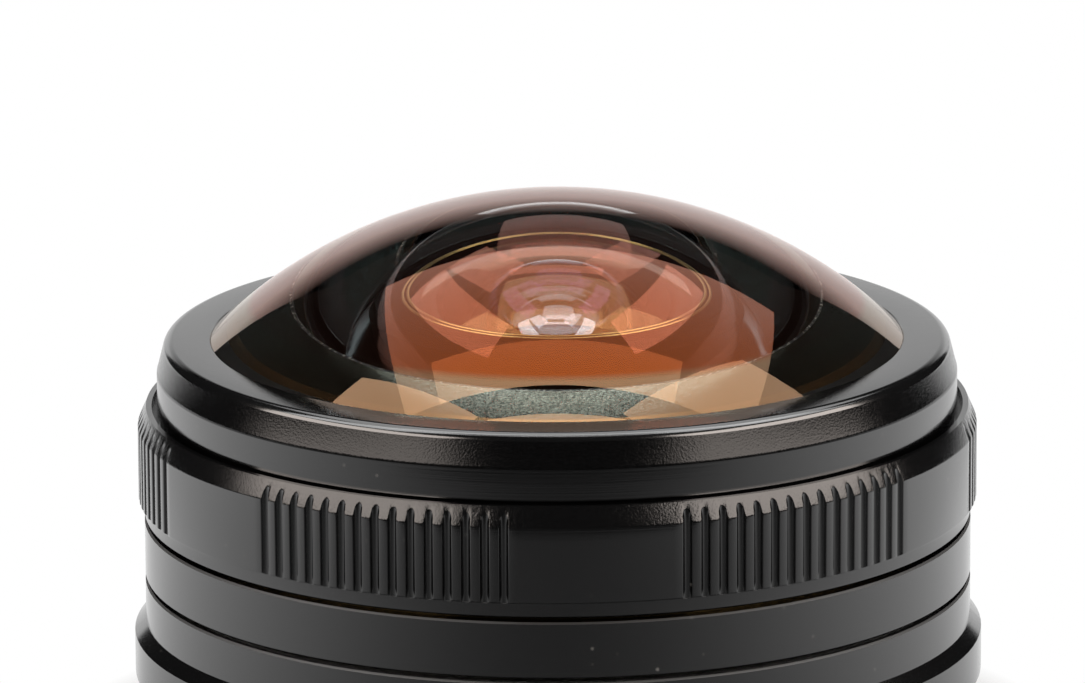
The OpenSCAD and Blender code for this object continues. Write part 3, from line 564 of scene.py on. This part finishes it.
@once
def satin_black():
    material, tree, shader, marks, colour = lacquered("satin_black")
    dust = place_group(tree, dust_group(), Amount=0.5)
    tree.links.new(colour, dust.inputs["Color"])
    tree.links.new(dust.outputs["Color"], shader.inputs["Base Color"])
    rough = metal().satin
    face = varied(tree, marks.outputs["Blotches"], rough * 0.8, rough * 1.3)
    face_or_edge = math_node(tree, "MAXIMUM", face, broken_edge(tree))
    tree.links.new(face_or_edge, shader.inputs["Roughness"])
    bump(tree, shader, marks.outputs["Height"], depth=0.0035 * MM)
    return material


@once
def polished_black():
    """Lacquered top face of the bezel, glossier than the walls."""
    material, tree, shader, marks, colour = lacquered("polished_black")
    tree.links.new(colour, shader.inputs["Base Color"])
    rough = metal().polished
    face = varied(tree, marks.outputs["Blotches"], rough * 0.9, rough * 1.15)
    tree.links.new(face, shader.inputs["Roughness"])
    grain = place_group(tree, grain_group())
    bump(tree, shader, grain.outputs["Height"], depth=0.004 * MM)
    return material


def bare_metal(name, colour, low, high):
    """Turned metal with faint rings, whose roughness runs from low to high."""
    material, tree, shader = new_material(name, Metallic=1.0)
    marks = place_group(tree, turning_group())
    shade = toned(tree, marks.outputs["Blotches"], colour, low=0.9, high=1.0)
    tree.links.new(shade, shader.inputs["Base Color"])
    tree.links.new(varied(tree, marks.outputs["Blotches"], low, high), shader.inputs["Roughness"])
    bump(tree, shader, marks.outputs["Height"], depth=0.003 * MM)
    return material


@once
def mount_chrome():
    return bare_metal("mount_chrome", metal().chrome, low=0.14, high=0.24)


@once
def screw_steel():
    return bare_metal("screw_steel", metal().steel, low=0.22, high=0.32)


@once
def helicoid_brass():
    return bare_metal("helicoid_brass", metal().brass, low=0.2, high=0.34)


@once
def gilt_edge():
    return bare_metal("gilt_edge", metal().gilt, low=0.12, high=0.2)


def grainy(name, dark, light, scale, rough, depth=None, **values):
    """A finish whose grain runs between two colours.

    rough is one roughness or a pair that the grain runs between, and depth is that of its pits.
    """
    material, tree, shader = new_material(name, **values)
    grain = place_group(tree, grain_group(), Scale=scale)
    mask = grain.outputs["Speckle"]
    tree.links.new(mixed_colour(tree, mask, dark, light), shader.inputs["Base Color"])
    if isinstance(rough, tuple):
        tree.links.new(varied(tree, mask, *rough), shader.inputs["Roughness"])
    else:
        shader.inputs["Roughness"].default_value = rough
    if depth:
        bump(tree, shader, grain.outputs["Height"], depth)
    return material


def blasted(name, sheen):
    """Black metal blasted to a fine grain."""
    base = metal().black
    rough = metal().grained
    return grainy(
        name, times(base, 0.6), times(base, 1.8), scale=10000.0, rough=(rough * 0.8, rough * 1.2),
        depth=0.011 * MM, **{"Specular IOR Level": sheen},
    )


@once
def grained_black():
    return blasted("grained_black", sheen=1.0)


@once
def cone_black():
    return blasted("cone_black", sheen=0.5)


@once
def inner_black():
    base = metal().inner_black
    return grainy(
        "inner_black", times(base, 0.6), times(base, 1.6), scale=5000.0, rough=(0.5, 0.65),
        depth=0.01 * MM,
    )


@once
def flock_black():
    """Black flocking that swallows stray light around the second element."""
    return grainy(
        "flock_black", (0.002, 0.002, 0.002), (0.007, 0.007, 0.007), scale=7000.0, rough=0.9,
        depth=0.01 * MM, **{"Specular IOR Level": 0.05},
    )


@once
def blade_black():
    return grainy(
        "blade_black", (0.012, 0.012, 0.013), (0.03, 0.03, 0.032), scale=12000.0,
        rough=(0.3, 0.42), Metallic=0.6,
    )


@once
def dot_paint():
    base = metal().red
    return grainy("dot_paint", times(base, 0.85), base, scale=4000.0, rough=0.3, depth=0.004 * MM)


@once
def gasket_rubber():
    return grainy(
        "gasket_rubber", (0.012, 0.012, 0.012), (0.025, 0.025, 0.025), scale=6000.0, rough=0.7,
        depth=0.006 * MM,
    )


@once
def glide_film():
    return grainy("glide_film", (0.6, 0.59, 0.56), (0.72, 0.71, 0.68), scale=3000.0, rough=0.45)


def coated_glass(name, coat, index, mirror, steep=None):
    """Clear glass under a coating that mirrors a share of the light in its own tint.

    steep gives the tint at the steep edge, where the coating is thinner, and the radii between
    which the tint changes.
    """
    material, tree, shader = new_material(name, **{
        "Base Color": (1, 1, 1, 1), "Roughness": 0.0, "IOR": index, "Transmission Weight": 1.0,
        "Specular Tint": (*coat, 1),
    })
    gloss = tree.nodes.new("ShaderNodeBsdfGlossy")
    gloss.inputs["Color"].default_value = (*coat, 1)
    gloss.inputs["Roughness"].default_value = 0.0
    if steep:
        edge, start, end = steep
        x, y, _ = coordinates(tree, object_place(tree))
        thinned = ramp(tree, from_axis(tree, x, y), start, end)
        tree.links.new(mixed_colour(tree, thinned, coat, edge), gloss.inputs["Color"])
    mixed_shader(tree, mirror, shader, gloss)
    return material


RIM_GRAIN = 8000.0


def rim_paint(name, shine, dull, bright):
    """Black paint on a ground rim; slanting light is thrown back from bare specks of the glass."""
    material, tree, shader = new_material(name, **{"Roughness": 0.5, "Specular IOR Level": 0.1})
    grain = place_group(tree, grain_group(), Scale=RIM_GRAIN)
    base = bpy.context.scene.lens_glass.rim_paint
    colour = toned(tree, grain.outputs["Speckle"], base, low=0.4, high=2.2)
    tree.links.new(colour, shader.inputs["Base Color"])
    bump(tree, shader, grain.outputs["Height"], depth=0.004 * MM)
    bare = tree.nodes.new("ShaderNodeBsdfGlossy")
    bare.inputs["Roughness"].default_value = 0.2
    specks = speckle(tree, fine_grain(tree, RIM_GRAIN))
    tree.links.new(toned(tree, specks, shine, dull, bright), bare.inputs["Color"])
    facing = tree.nodes.new("ShaderNodeLayerWeight").outputs["Facing"]
    slanted = ramp(tree, facing, 0.28, 0.46)
    mixed_shader(tree, slanted, shader, bare)
    return material


def rim_edge():
    """Chips along the ground edge of the hollow; their pale colour is partly the bare ground glass and
    partly painted glints.
    """
    material, tree, shader = new_material("rim_edge", Roughness=0.4)
    grain = place_group(tree, grain_group(), Scale=RIM_GRAIN)
    chips_and_glints = ramp(tree, grain.outputs["Speckle"], 0.5, 0.75)
    # Painted glints: the pale speck colour stands in for the edge's sparkle as well as its real
    # chipping
    colour = mixed_colour(tree, chips_and_glints, (0.004, 0.004, 0.004), (0.6, 0.54, 0.45))
    tree.links.new(colour, shader.inputs["Base Color"])
    return material


# Pieces


class LENS_OT_front_element(bpy.types.Operator):
    """Bulging front element with its hollow, coatings and painted rear rim"""

    bl_idname = "lens.front_element"
    bl_label = "Front element"

    def execute(self, context):
        glass = context.scene.lens_glass
        low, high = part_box("front_element")
        edge = high.x
        hollow_apex = high.z - glass.dome_thickness
        hollow = cap_radius(hollow_apex - low.z, glass.hollow_rim)
        outer = dome_arc(high.z, glass.dome_curve, edge, DOME_STEPS)
        inner = dome_arc(hollow_apex, hollow, glass.hollow_rim, HOLLOW_STEPS)
        if outer[-1][1] <= low.z:
            raise RuntimeError("the dome leaves no edge on the front element")
        chips_and_glints_width = 0.14 * MM
        matt = edge - glass.matt_rim
        amber = matt - glass.amber_rim
        chips_and_glints_edge = glass.hollow_rim + chips_and_glints_width
        rear = [(edge, low.z), (matt, low.z), (amber, low.z), (chips_and_glints_edge, low.z)]
        on_dome, on_rim, in_hollow, on_edge, on_chips_and_glints, on_amber = range(6)

        def slot_of(r, z):
            at_rear = z < low.z + HAIR
            if r > edge - HAIR or (at_rear and r > matt):
                return on_edge
            if at_rear:
                return on_amber if r > amber else on_rim if r > chips_and_glints_edge else on_chips_and_glints
            off_hollow = abs(math.hypot(r, z - (hollow_apex - hollow)) - hollow)
            return in_hollow if off_hollow < ON_CURVE and r < glass.hollow_rim else on_dome

        piece = lathe("front_glass", outer + rear + inner[::-1], slot_of)
        steep = (glass.steep_coat, glass.steep_start, glass.steep_end)
        materials = [
            coated_glass("front_glass", glass.front_coat, FRONT_INDEX, mirror=0.085, steep=steep),
            rim_paint("rim_paint", glass.rim_shine, dull=0.075, bright=0.42),
            coated_glass("hollow_glass", glass.hollow_coat, FRONT_INDEX, mirror=0.045),
            inner_black(),
            # pale specks along the hollow's edge: real chipping with painted glints
            rim_edge(),
            rim_paint("edge_paint", glass.edge_shine, dull=0.6, bright=1.0),
        ]
        dress(piece, "optical_block", materials, "front_glass", "front_element")
        return {"FINISHED"}


class LENS_OT_inner_elements(bpy.types.Operator):
    """Second and third elements, seen through the front element"""

    bl_idname = "lens.inner_elements"
    bl_label = "Inner elements"

    def second(self, glass):
        low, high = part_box("second_element")
        edge = high.x
        rim = glass.second_hollow_rim
        hollow_apex = high.z - glass.second_thickness
        hollow = cap_radius(hollow_apex - low.z, rim)
        front = dome_arc(high.z, glass.second_curve, edge, SECOND_STEPS)
        back = dome_arc(hollow_apex, hollow, rim, SECOND_HOLLOW_STEPS)
        on_front, on_edge, in_hollow = range(3)

        def slot_of(r, z):
            if r > edge - HAIR or (z < low.z + HAIR and r > rim):
                return on_edge
            from_centre = math.hypot(r, z - hollow_apex + hollow)
            return in_hollow if r < rim and from_centre < hollow + ON_CURVE else on_front

        piece = lathe("second_glass", front + [(edge, low.z)] + back[::-1], slot_of)
        materials = [
            coated_glass("second_glass", glass.second_coat, INNER_INDEX, mirror=0.08),
            inner_black(),
            coated_glass("second_hollow_glass", glass.inner_coat, INNER_INDEX, mirror=0.04),
        ]
        dress(piece, "optical_block", materials, "inner_glass", "second_element")

    def second_bevels(self):
        """Two bright bevels along the inner edge of the second element's ring."""
        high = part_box("second_element_ring")[1]
        bevel, ring_width = 0.09 * MM, 1.2 * MM
        bevel_steps = 16
        sunk = 0.4 * bevel
        spacing = 3 * bevel
        first = high.x - ring_width + bevel
        for index, r in enumerate((first, first + spacing)):
            edge_ring = arc((r, high.z - sunk), bevel, 0, 360, bevel_steps)[:-1]
            piece = lathe("second_bevel_%d" % index, edge_ring)
            dress(piece, "optical_block", [gilt_edge()], "black_inner")

    def third(self, glass):
        low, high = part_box("third_element")
        edge = high.x
        on_front, on_edge = range(2)
        front = dome_arc(high.z, glass.third_curve, edge, THIRD_STEPS)
        piece = lathe(
            "third_glass", front + [(edge, low.z), (0, low.z)],
            lambda r, z: on_edge if r > edge - HAIR else on_front,
        )
        coat = coated_glass("third_glass", glass.third_coat, INNER_INDEX, mirror=0.3)
        dress(piece, "optical_block", [coat, inner_black()], "inner_glass", "third_element")

    def execute(self, context):
        glass = context.scene.lens_glass
        self.second(glass)
        self.second_bevels()
        self.third(glass)
        return {"FINISHED"}


class LENS_OT_front_bezel(bpy.types.Operator):
    """Bezel with its polished top, rounded shoulder and grained cone"""

    bl_idname = "lens.front_bezel"
    bl_label = "Front bezel"

    def inside(self, glass, low, top, thread):
        """Profile from the mouth down to the thread, with room for the front element."""
        mouth_gap, edge_gap, roof_gap = 0.02 * MM, 0.1 * MM, 0.04 * MM
        lip_width, lip_height = 0.06 * MM, 0.05 * MM
        thread_height = 2.4 * MM
        curve = glass.dome_curve
        centre = node_top("front_element") - curve
        mouth = math.sqrt(curve ** 2 - (top - centre) ** 2) + mouth_gap
        pocket = node_radius("front_element") + edge_gap
        pocket_top = centre + math.sqrt(curve ** 2 - pocket ** 2) + roof_gap
        shoulder = low + thread_height
        return [
            (mouth + lip_width, top), (mouth, top - lip_height), (pocket, pocket_top),
            (pocket, shoulder), (thread, shoulder),
        ]

    def execute(self, context):
        grip = context.scene.lens_grip
        low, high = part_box("front_bezel")
        wall = high.x
        top = high.z
        cone_top = wall - grip.cone_width
        wall_top = node_top("focus_ring") + grip.wall_height
        ring_gap, relief_depth, skirt_width = 0.1 * MM, 0.15 * MM, 1.03 * MM
        wall_foot = node_top("focus_ring") + ring_gap
        thread = wall - skirt_width
        relief = wall - relief_depth
        outside = [(thread, low.z), (relief, low.z), (relief, wall_foot), (wall, wall_foot)]
        foot_cut = 0.12 * MM
        foot_round = soft_corner((wall, wall_foot), (wall, wall_top), (cone_top, top), foot_cut)
        r = grip.shoulder_radius
        foot = (wall - cone_top, wall_top - top + r)
        lean = math.degrees(math.atan2(foot[1], foot[0]) + math.acos(r / math.hypot(*foot)))
        shoulder_steps = 12
        shoulder_round = arc((cone_top, top - r), r, lean, 90, shoulder_steps)
        inside = self.inside(context.scene.lens_glass, low.z, top, thread)
        top_margin, cone_margin = 0.06 * MM, 0.2 * MM
        top_low = top - top_margin
        cone_low = wall_top - cone_margin
        cone_high = shoulder_round[0][1]
        on_wall, on_cone, on_top = range(3)

        def slot_of(radius, z):
            if radius < cone_top and z > top_low:
                return on_top
            return on_cone if radius > cone_top and cone_low < z < cone_high + HAIR else on_wall

        profile = outside + foot_round + shoulder_round + inside
        piece = lathe("bezel", profile, slot_of, steps=BEZEL_STEPS)
        materials = [satin_black(), cone_black(), polished_black()]
        dress(piece, "optical_block", materials, "black_bezel", "front_bezel")
        return {"FINISHED"}


class LENS_OT_focus_ring(bpy.types.Operator):
    """Focus ring with its groups of grooves, grained chamfer and lip"""

    bl_idname = "lens.focus_ring"
    bl_label = "Focus ring"

    # Places beyond a groove's half width, each with the depth of the softened edge there
    BROW = ((0.05 * MM, 0.0), (0.025 * MM, 0.008 * MM), (0.004 * MM, 0.03 * MM))
    HOLLOW_DEGREES = range(-80, 81, 16)
    FIELD_STEPS = 20

    def groove(self, grip, outer):
        """A groove's section: places across it, each with the radius of the surface there."""
        half = grip.groove_width / 2
        centre = outer - grip.groove_depth + half
        brow = [(half + beyond, outer - depth) for beyond, depth in self.BROW]
        hollow = []
        for degrees in self.HOLLOW_DEGREES:
            across = half * math.sin(math.radians(degrees))
            hollow.append((across, centre - math.sqrt(half * half - across * across)))
        return [(-across, floor) for across, floor in brow] + hollow + brow[::-1]

    def columns(self, grip, outer):
        """Angles around the ring, each with the radius of the surface there."""
        section = self.groove(grip, outer)
        reach = section[-1][0] / outer
        half_group = (grip.grooves - 1) / 2
        columns = []
        for group in range(grip.groups):
            middle = grip.start - math.pi / 2 + 2 * math.pi * group / grip.groups
            for i in range(grip.grooves):
                at = middle + (i - half_group) * grip.pitch
                for across, floor in section:
                    columns.append((at + across / outer, floor))
            gap = 2 * math.pi / grip.groups - (grip.grooves - 1) * grip.pitch
            start = middle + half_group * grip.pitch + reach
            span = gap - 2 * reach
            for k in range(1, self.FIELD_STEPS):
                columns.append((start + span * k / self.FIELD_STEPS, outer))
        return columns

    def inside(self, low, top, bore):
        """Profile from the top land down the bore to the sole, around the nuts."""
        nut_gap, lock_gap = 0.02 * MM, 0.2 * MM
        flange_height = 1.5 * MM
        overlap = 2.38 * MM
        nut = node_radius("helicoid_nut") + nut_gap
        nut_low = node_bottom("helicoid_nut")
        nut_top = node_top("helicoid_nut")
        lock = node_radius("focus_ring_nut") + lock_gap
        flange = low + flange_height
        slide = node_radius("aperture_ring") - overlap
        return [
            (bore, top), (bore, nut_top), (nut, nut_top), (nut, nut_low), (lock, nut_low),
            (lock, flange), (slide, flange), (slide, low),
        ]

    def execute(self, context):
        grip = context.scene.lens_grip
        low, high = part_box("focus_ring")
        outer = round(high.x / MM, 2) * MM
        top = high.z
        lip = grip.lip_radius
        lip_top = low.z + grip.lip_height
        step = (outer - lip) / 2
        chamfer = top - grip.chamfer_height
        top_r = outer - grip.chamfer_width
        sole_edge, lip_edge, step_edge, chamfer_edge = 0.1 * MM, 0.03 * MM, 0.03 * MM, 0.06 * MM
        lip_slant, step_slant, step_drop = 0.01 * MM, 0.02 * MM, 0.01 * MM
        ease = 0.2
        slope = Vector((-grip.chamfer_width, grip.chamfer_height)).normalized() * chamfer_edge
        inside = self.inside(low.z, top, top_r - grip.land_width)
        vertices = []
        rings = []
        for turn, cut in self.columns(grip, outer):
            rise = lip_top + step * (cut - lip) / (outer - lip)
            cross = chamfer + grip.chamfer_height * (outer - cut) / grip.chamfer_width
            outside = [
                (lip, low.z + sole_edge), (lip, lip_top - lip_edge), (lip + lip_slant, lip_top),
                (cut - step_slant, rise - step_drop), (cut, rise + step_edge),
                (cut, cross - chamfer_edge), (cut + slope.x * ease, cross - chamfer_edge * ease),
                (cut + slope.x, cross + slope.y),
                (top_r - slope.x, top - slope.y), (top_r, top),
            ]
            points = outside + inside + [(lip - sole_edge, low.z)]
            rings.append(list(range(len(vertices), len(vertices) + len(points))))
            for r, z in points:
                vertices.append((r * math.cos(turn), r * math.sin(turn), z))
        on_wall, on_chamfer = range(2)
        chamfer_rows = range(6, 9)
        faces = []
        slots = []
        rows = len(rings[0])
        for k in range(len(rings)):
            a, b = rings[k], rings[(k + 1) % len(rings)]
            for i in range(rows):
                j = (i + 1) % rows
                faces.append([a[i], b[i], b[j], a[j]])
                slots.append(on_chamfer if i in chamfer_rows else on_wall)
        piece = finish_mesh("grip_ring", vertices, faces, slots)
        dress(piece, "focus_ring", [satin_black(), grained_black()], "black_ring", "focus_ring")
        return {"FINISHED"}


class LENS_OT_frame_finishes(bpy.types.Operator):
    """Finishes of the pieces that keep their CAD shape"""

    bl_idname = "lens.frame_finishes"
    bl_label = "Finishes of the CAD pieces"

    def execute(self, context):
        finishes = {
            "black_barrel": satin_black, "black_ring": satin_black, "black_bezel": satin_black,
            "black_inner": inner_black, "chrome_mount": mount_chrome, "steel_screws": screw_steel,
            "brass_helicoid": helicoid_brass, "blade_steel": blade_black, "red_dot": dot_paint,
            "glide_film": glide_film, "gasket_rubber": gasket_rubber,
        }
        flocked = ("front_cell", "second_element_ring")
        inner_coat = context.scene.lens_glass.inner_coat
        rear = coated_glass("rear_glass", inner_coat, INNER_INDEX, mirror=0.05)
        for part in frame["record"]["subparts"]:
            node = frame["nodes"][part["node"]]
            finish = finishes.get(part["material_slot"])
            material = finish() if finish else rear
            if not node.material_slots:
                raise RuntimeError("the node %s has no material slot" % part["node"])
            if part["node"] in flocked:
                material = flock_black()
            for slot in node.material_slots:
                slot.material = material
        return {"FINISHED"}


# Studio

SENSOR_WIDTH = 36
NEAR_CLIP = 0.01
LAMP_DISTANCE = 1.3

# Name, middle and half sides in lamp distances, and level against the overhead light
OVERHEAD_LAMPS = (
    ("overhead_softbox", (0.1, 0.5, 1.0), (0.65, 0.548), 1.0),
    ("overhead_middle", (0.0, 0.07, 0.98), (0.4, 0.118), 1.0),
    ("front_strip", (0.0, -0.245, 1.0), (0.45, 0.055), 1.8),
)

# Name, ends of the upper edge in lamp distances, fall in degrees, and level against the side light
SIDE_LAMPS = (
    ("left_softbox", (-0.684, 0.32, 1.0), (-0.278, -0.163, 1.0), 53.7, 1.0),
    ("right_softbox", (0.629, 0.388, 1.0), (0.23, -0.162, 1.0), 70.0, 0.82),
)
SIDE_HALF_FALL = 0.3

# Name, turn and rise in degrees, half sides in metres, and level against the side light
LOW_LAMPS = (
    ("left_low_softbox", -64.0, 26.0, (0.74, 0.31), 1.3),
    ("right_low_softbox", 68.0, 26.0, (0.72, 0.31), 1.5),
)

FLOOR_SIDE = 0.35
FLOOR_FRONT = -0.105
BACKDROP_SIDE = 0.75
BACKDROP_BACK = 1.6
BACKDROP_TOP = 0.9

# Radii around the lens between which the floor's shadow gives way to white
SHADOW_REACH = (0.0235, 0.028)

# In reflections the floor darkens towards the front, and the backdrop towards its top
FLOOR_FADE = (-1.14, 0.55)
BACKDROP_FADE = (0.74, 0.32)


def placement(x, y, z, place):
    """Matrix that turns an object's own axes to x, y and z and puts it at a place."""
    matrix = Matrix((x, y, z)).transposed().to_4x4()
    matrix.translation = place
    return matrix


class LENS_OT_studio(bpy.types.Operator):
    """Camera, softboxes, pale floor and white backdrop"""

    bl_idname = "lens.studio"
    bl_label = "Studio"

    def camera(self, context, studio):
        tilt = studio.elevation - studio.pitch
        ahead = Vector((0, math.cos(tilt), -math.sin(tilt)))
        right = Vector((1, 0, 0))
        forward = ahead * math.cos(studio.yaw) + right * math.sin(studio.yaw)
        side = right * math.cos(studio.yaw) - ahead * math.sin(studio.yaw)
        up = side.cross(forward)
        rolled = side * math.cos(studio.roll) + up * math.sin(studio.roll)
        above = up * math.cos(studio.roll) - side * math.sin(studio.roll)
        away = Vector((0, -math.cos(studio.elevation), math.sin(studio.elevation)))
        place = away * studio.distance
        place.z += studio.aim_height
        data = bpy.data.cameras.new("camera")
        data.lens = studio.lens
        data.sensor_width = SENSOR_WIDTH
        data.clip_start = NEAR_CLIP
        camera = bpy.data.objects.new("camera", data)
        camera.matrix_world = placement(rolled, above, -forward, place)
        context.scene.collection.objects.link(camera)
        context.scene.camera = camera

    def softbox(self, context, name, centre, across, down, level, colour=(1, 1, 1)):
        """A rectangular lamp with half its sides given; it shines against their cross product."""
        data = bpy.data.lights.new(name, "AREA")
        data.shape = "RECTANGLE"
        data.size = across.length * 2
        data.size_y = down.length * 2
        data.energy = level * math.pi * data.size * data.size_y
        data.color = colour
        lamp = bpy.data.objects.new(name, data)
        x = across.normalized()
        y = down.normalized()
        lamp.matrix_world = placement(x, y, x.cross(y), centre)
        lamp.visible_camera = False
        context.scene.collection.objects.link(lamp)

    def overhead_box(self, context, name, middle, half, level):
        """A softbox that hangs flat above the lens."""
        centre = Vector(middle) * LAMP_DISTANCE
        centre.z += node_top("front_element")
        across = Vector((half[0] * LAMP_DISTANCE, 0, 0))
        down = Vector((0, half[1] * LAMP_DISTANCE, 0))
        self.softbox(context, name, centre, across, down, level)

    def side_box(self, context, name, far, near, fall, level):
        """A softbox hung from its upper edge, which falls outwards by an angle below the horizon."""
        top = Vector((0, 0, node_top("front_element")))
        a = Vector(far) * LAMP_DISTANCE + top
        b = Vector(near) * LAMP_DISTANCE + top
        across = (b - a) / 2
        middle = (a + b) / 2
        outward = Vector((across.y, -across.x, 0)).normalized()
        if outward.dot(middle) < 0:
            outward.negate()
        down = outward * math.cos(fall) - Vector((0, 0, 1)) * math.sin(fall)
        half = down * SIDE_HALF_FALL
        centre = middle + half
        if across.cross(half).dot(centre) < 0:
            across = -across
        self.softbox(context, name, centre, across, half, level)

    def low_box(self, context, name, turn, rise, half, level, colour):
        """A softbox that stands beside the camera and faces the lens."""
        outward = Vector((
            math.sin(turn) * math.cos(rise), -math.cos(turn) * math.cos(rise), math.sin(rise)
        ))
        x = Vector((math.cos(turn), math.sin(turn), 0))
        y = outward.cross(x)
        centre = outward * LAMP_DISTANCE
        self.softbox(context, name, centre, x * half[0], y * half[1], level, colour)

    def lamps(self, context, studio):
        for name, middle, half, level in OVERHEAD_LAMPS:
            self.overhead_box(context, name, middle, half, level * studio.top_level)
        for name, far, near, fall, level in SIDE_LAMPS:
            self.side_box(context, name, far, near, math.radians(fall), level * studio.side_level)
        for name, turn, rise, half, level in LOW_LAMPS:
            self.low_box(
                context, name, math.radians(turn), math.radians(rise), half,
                level * studio.side_level, studio.warm,
            )

    def paper(self, context, name, corners, material):
        mesh = bpy.data.meshes.new(name)
        mesh.from_pydata(corners, [], [(0, 1, 2, 3)])
        mesh.materials.append(material)
        sheet = bpy.data.objects.new(name, mesh)
        context.scene.collection.objects.link(sheet)
        return sheet

    def ground(self, context, studio):
        z = CAD_BOX[0][2]
        floor_corners = [
            (-FLOOR_SIDE, FLOOR_FRONT, z), (FLOOR_SIDE, FLOOR_FRONT, z),
            (FLOOR_SIDE, BACKDROP_BACK, z), (-FLOOR_SIDE, BACKDROP_BACK, z),
        ]
        drop_corners = [
            (-BACKDROP_SIDE, BACKDROP_BACK, z), (BACKDROP_SIDE, BACKDROP_BACK, z),
            (BACKDROP_SIDE, BACKDROP_BACK, BACKDROP_TOP),
            (-BACKDROP_SIDE, BACKDROP_BACK, BACKDROP_TOP),
        ]
        pale_floor = self.pale(studio, "pale_floor", True)
        white_backdrop = self.pale(studio, "white_backdrop", False)
        floor = self.paper(context, "floor", floor_corners, pale_floor)
        drop = self.paper(context, "backdrop", drop_corners, white_backdrop)

    def pale(self, studio, name, keeps_shadow):
        """Paper that is white to the camera and in reflections, but for the object's shadow on it."""
        material = bpy.data.materials.new(name)
        material.use_nodes = True
        tree = material.node_tree
        tree.nodes.remove(tree.nodes["Principled BSDF"])
        paper = tree.nodes.new("ShaderNodeBsdfDiffuse")
        paper.inputs["Color"].default_value = (*studio.backdrop, 1)
        white = tree.nodes.new("ShaderNodeEmission")
        path = tree.nodes.new("ShaderNodeLightPath").outputs
        mirrored = math_node(tree, "MAXIMUM", path["Is Glossy Ray"], path["Is Transmission Ray"])
        seen = math_node(tree, "MAXIMUM", path["Is Camera Ray"], mirrored)
        x, y, z = coordinates(tree, tree.nodes.new("ShaderNodeNewGeometry").outputs["Position"])
        if keeps_shadow:
            radius = from_axis(tree, x, y)
            seen = product(tree, seen, ramp(tree, radius, *SHADOW_REACH))
            fade = ramp(tree, math_node(tree, "DIVIDE", y, radius), *FLOOR_FADE)
        else:
            fade = ramp(tree, z, *BACKDROP_FADE)
        level = math_node(tree, "MAXIMUM", path["Is Camera Ray"], fade)
        tree.links.new(level, white.inputs["Strength"])
        mixed_shader(tree, seen, paper, white)
        return material

    def sky(self, context, studio):
        world = bpy.data.worlds.new("studio")
        world.use_nodes = True
        tree = world.node_tree
        path = tree.nodes.new("ShaderNodeLightPath")
        dark = [studio.dark_side] * 3
        seen = mixed_colour(tree, path.outputs["Is Camera Ray"], dark, (1, 1, 1))
        tree.links.new(seen, tree.nodes["Background"].inputs["Color"])
        context.scene.world = world

    def execute(self, context):
        studio = context.scene.lens_studio
        self.camera(context, studio)
        self.ground(context, studio)
        self.sky(context, studio)
        self.lamps(context, studio)
        context.scene.view_settings.view_transform = "Standard"
        return {"FINISHED"}


class LENS_PT_panel(bpy.types.Panel):
    """Lists the pieces of the lens"""

    bl_label = "Fisheye lens"
    bl_idname = "LENS_PT_panel"
    bl_space_type = "VIEW_3D"
    bl_region_type = "UI"
    bl_category = "Fisheye lens"

    def draw(self, context):
        for operator in OPERATORS:
            self.layout.operator(operator.bl_idname)
        for group in SETTINGS:
            settings = getattr(context.scene, group)
            for name in settings.__annotations__:
                self.layout.prop(settings, name)


OPERATORS = (
    LENS_OT_frame_finishes, LENS_OT_front_element, LENS_OT_inner_elements, LENS_OT_front_bezel,
    LENS_OT_focus_ring, LENS_OT_studio,
)
SETTINGS = {
    "lens_glass": GlassSettings, "lens_metal": MetalSettings, "lens_grip": GripSettings,
    "lens_studio": StudioSettings,
}


def register():
    for name, group in SETTINGS.items():
        bpy.utils.register_class(group)
        setattr(bpy.types.Scene, name, bpy.props.PointerProperty(type=group))
    for operator in OPERATORS:
        bpy.utils.register_class(operator)
    bpy.utils.register_class(LENS_PT_panel)


def unregister():
    bpy.utils.unregister_class(LENS_PT_panel)
    for operator in reversed(OPERATORS):
        bpy.utils.unregister_class(operator)
    for name, group in SETTINGS.items():
        delattr(bpy.types.Scene, name)
        bpy.utils.unregister_class(group)


def main():
    register()
    bpy.ops.lens.frame_finishes()
    bpy.ops.lens.front_element()
    bpy.ops.lens.inner_elements()
    bpy.ops.lens.front_bezel()
    bpy.ops.lens.focus_ring()
    bpy.ops.lens.studio()


if __name__ == "__main__":
    main()
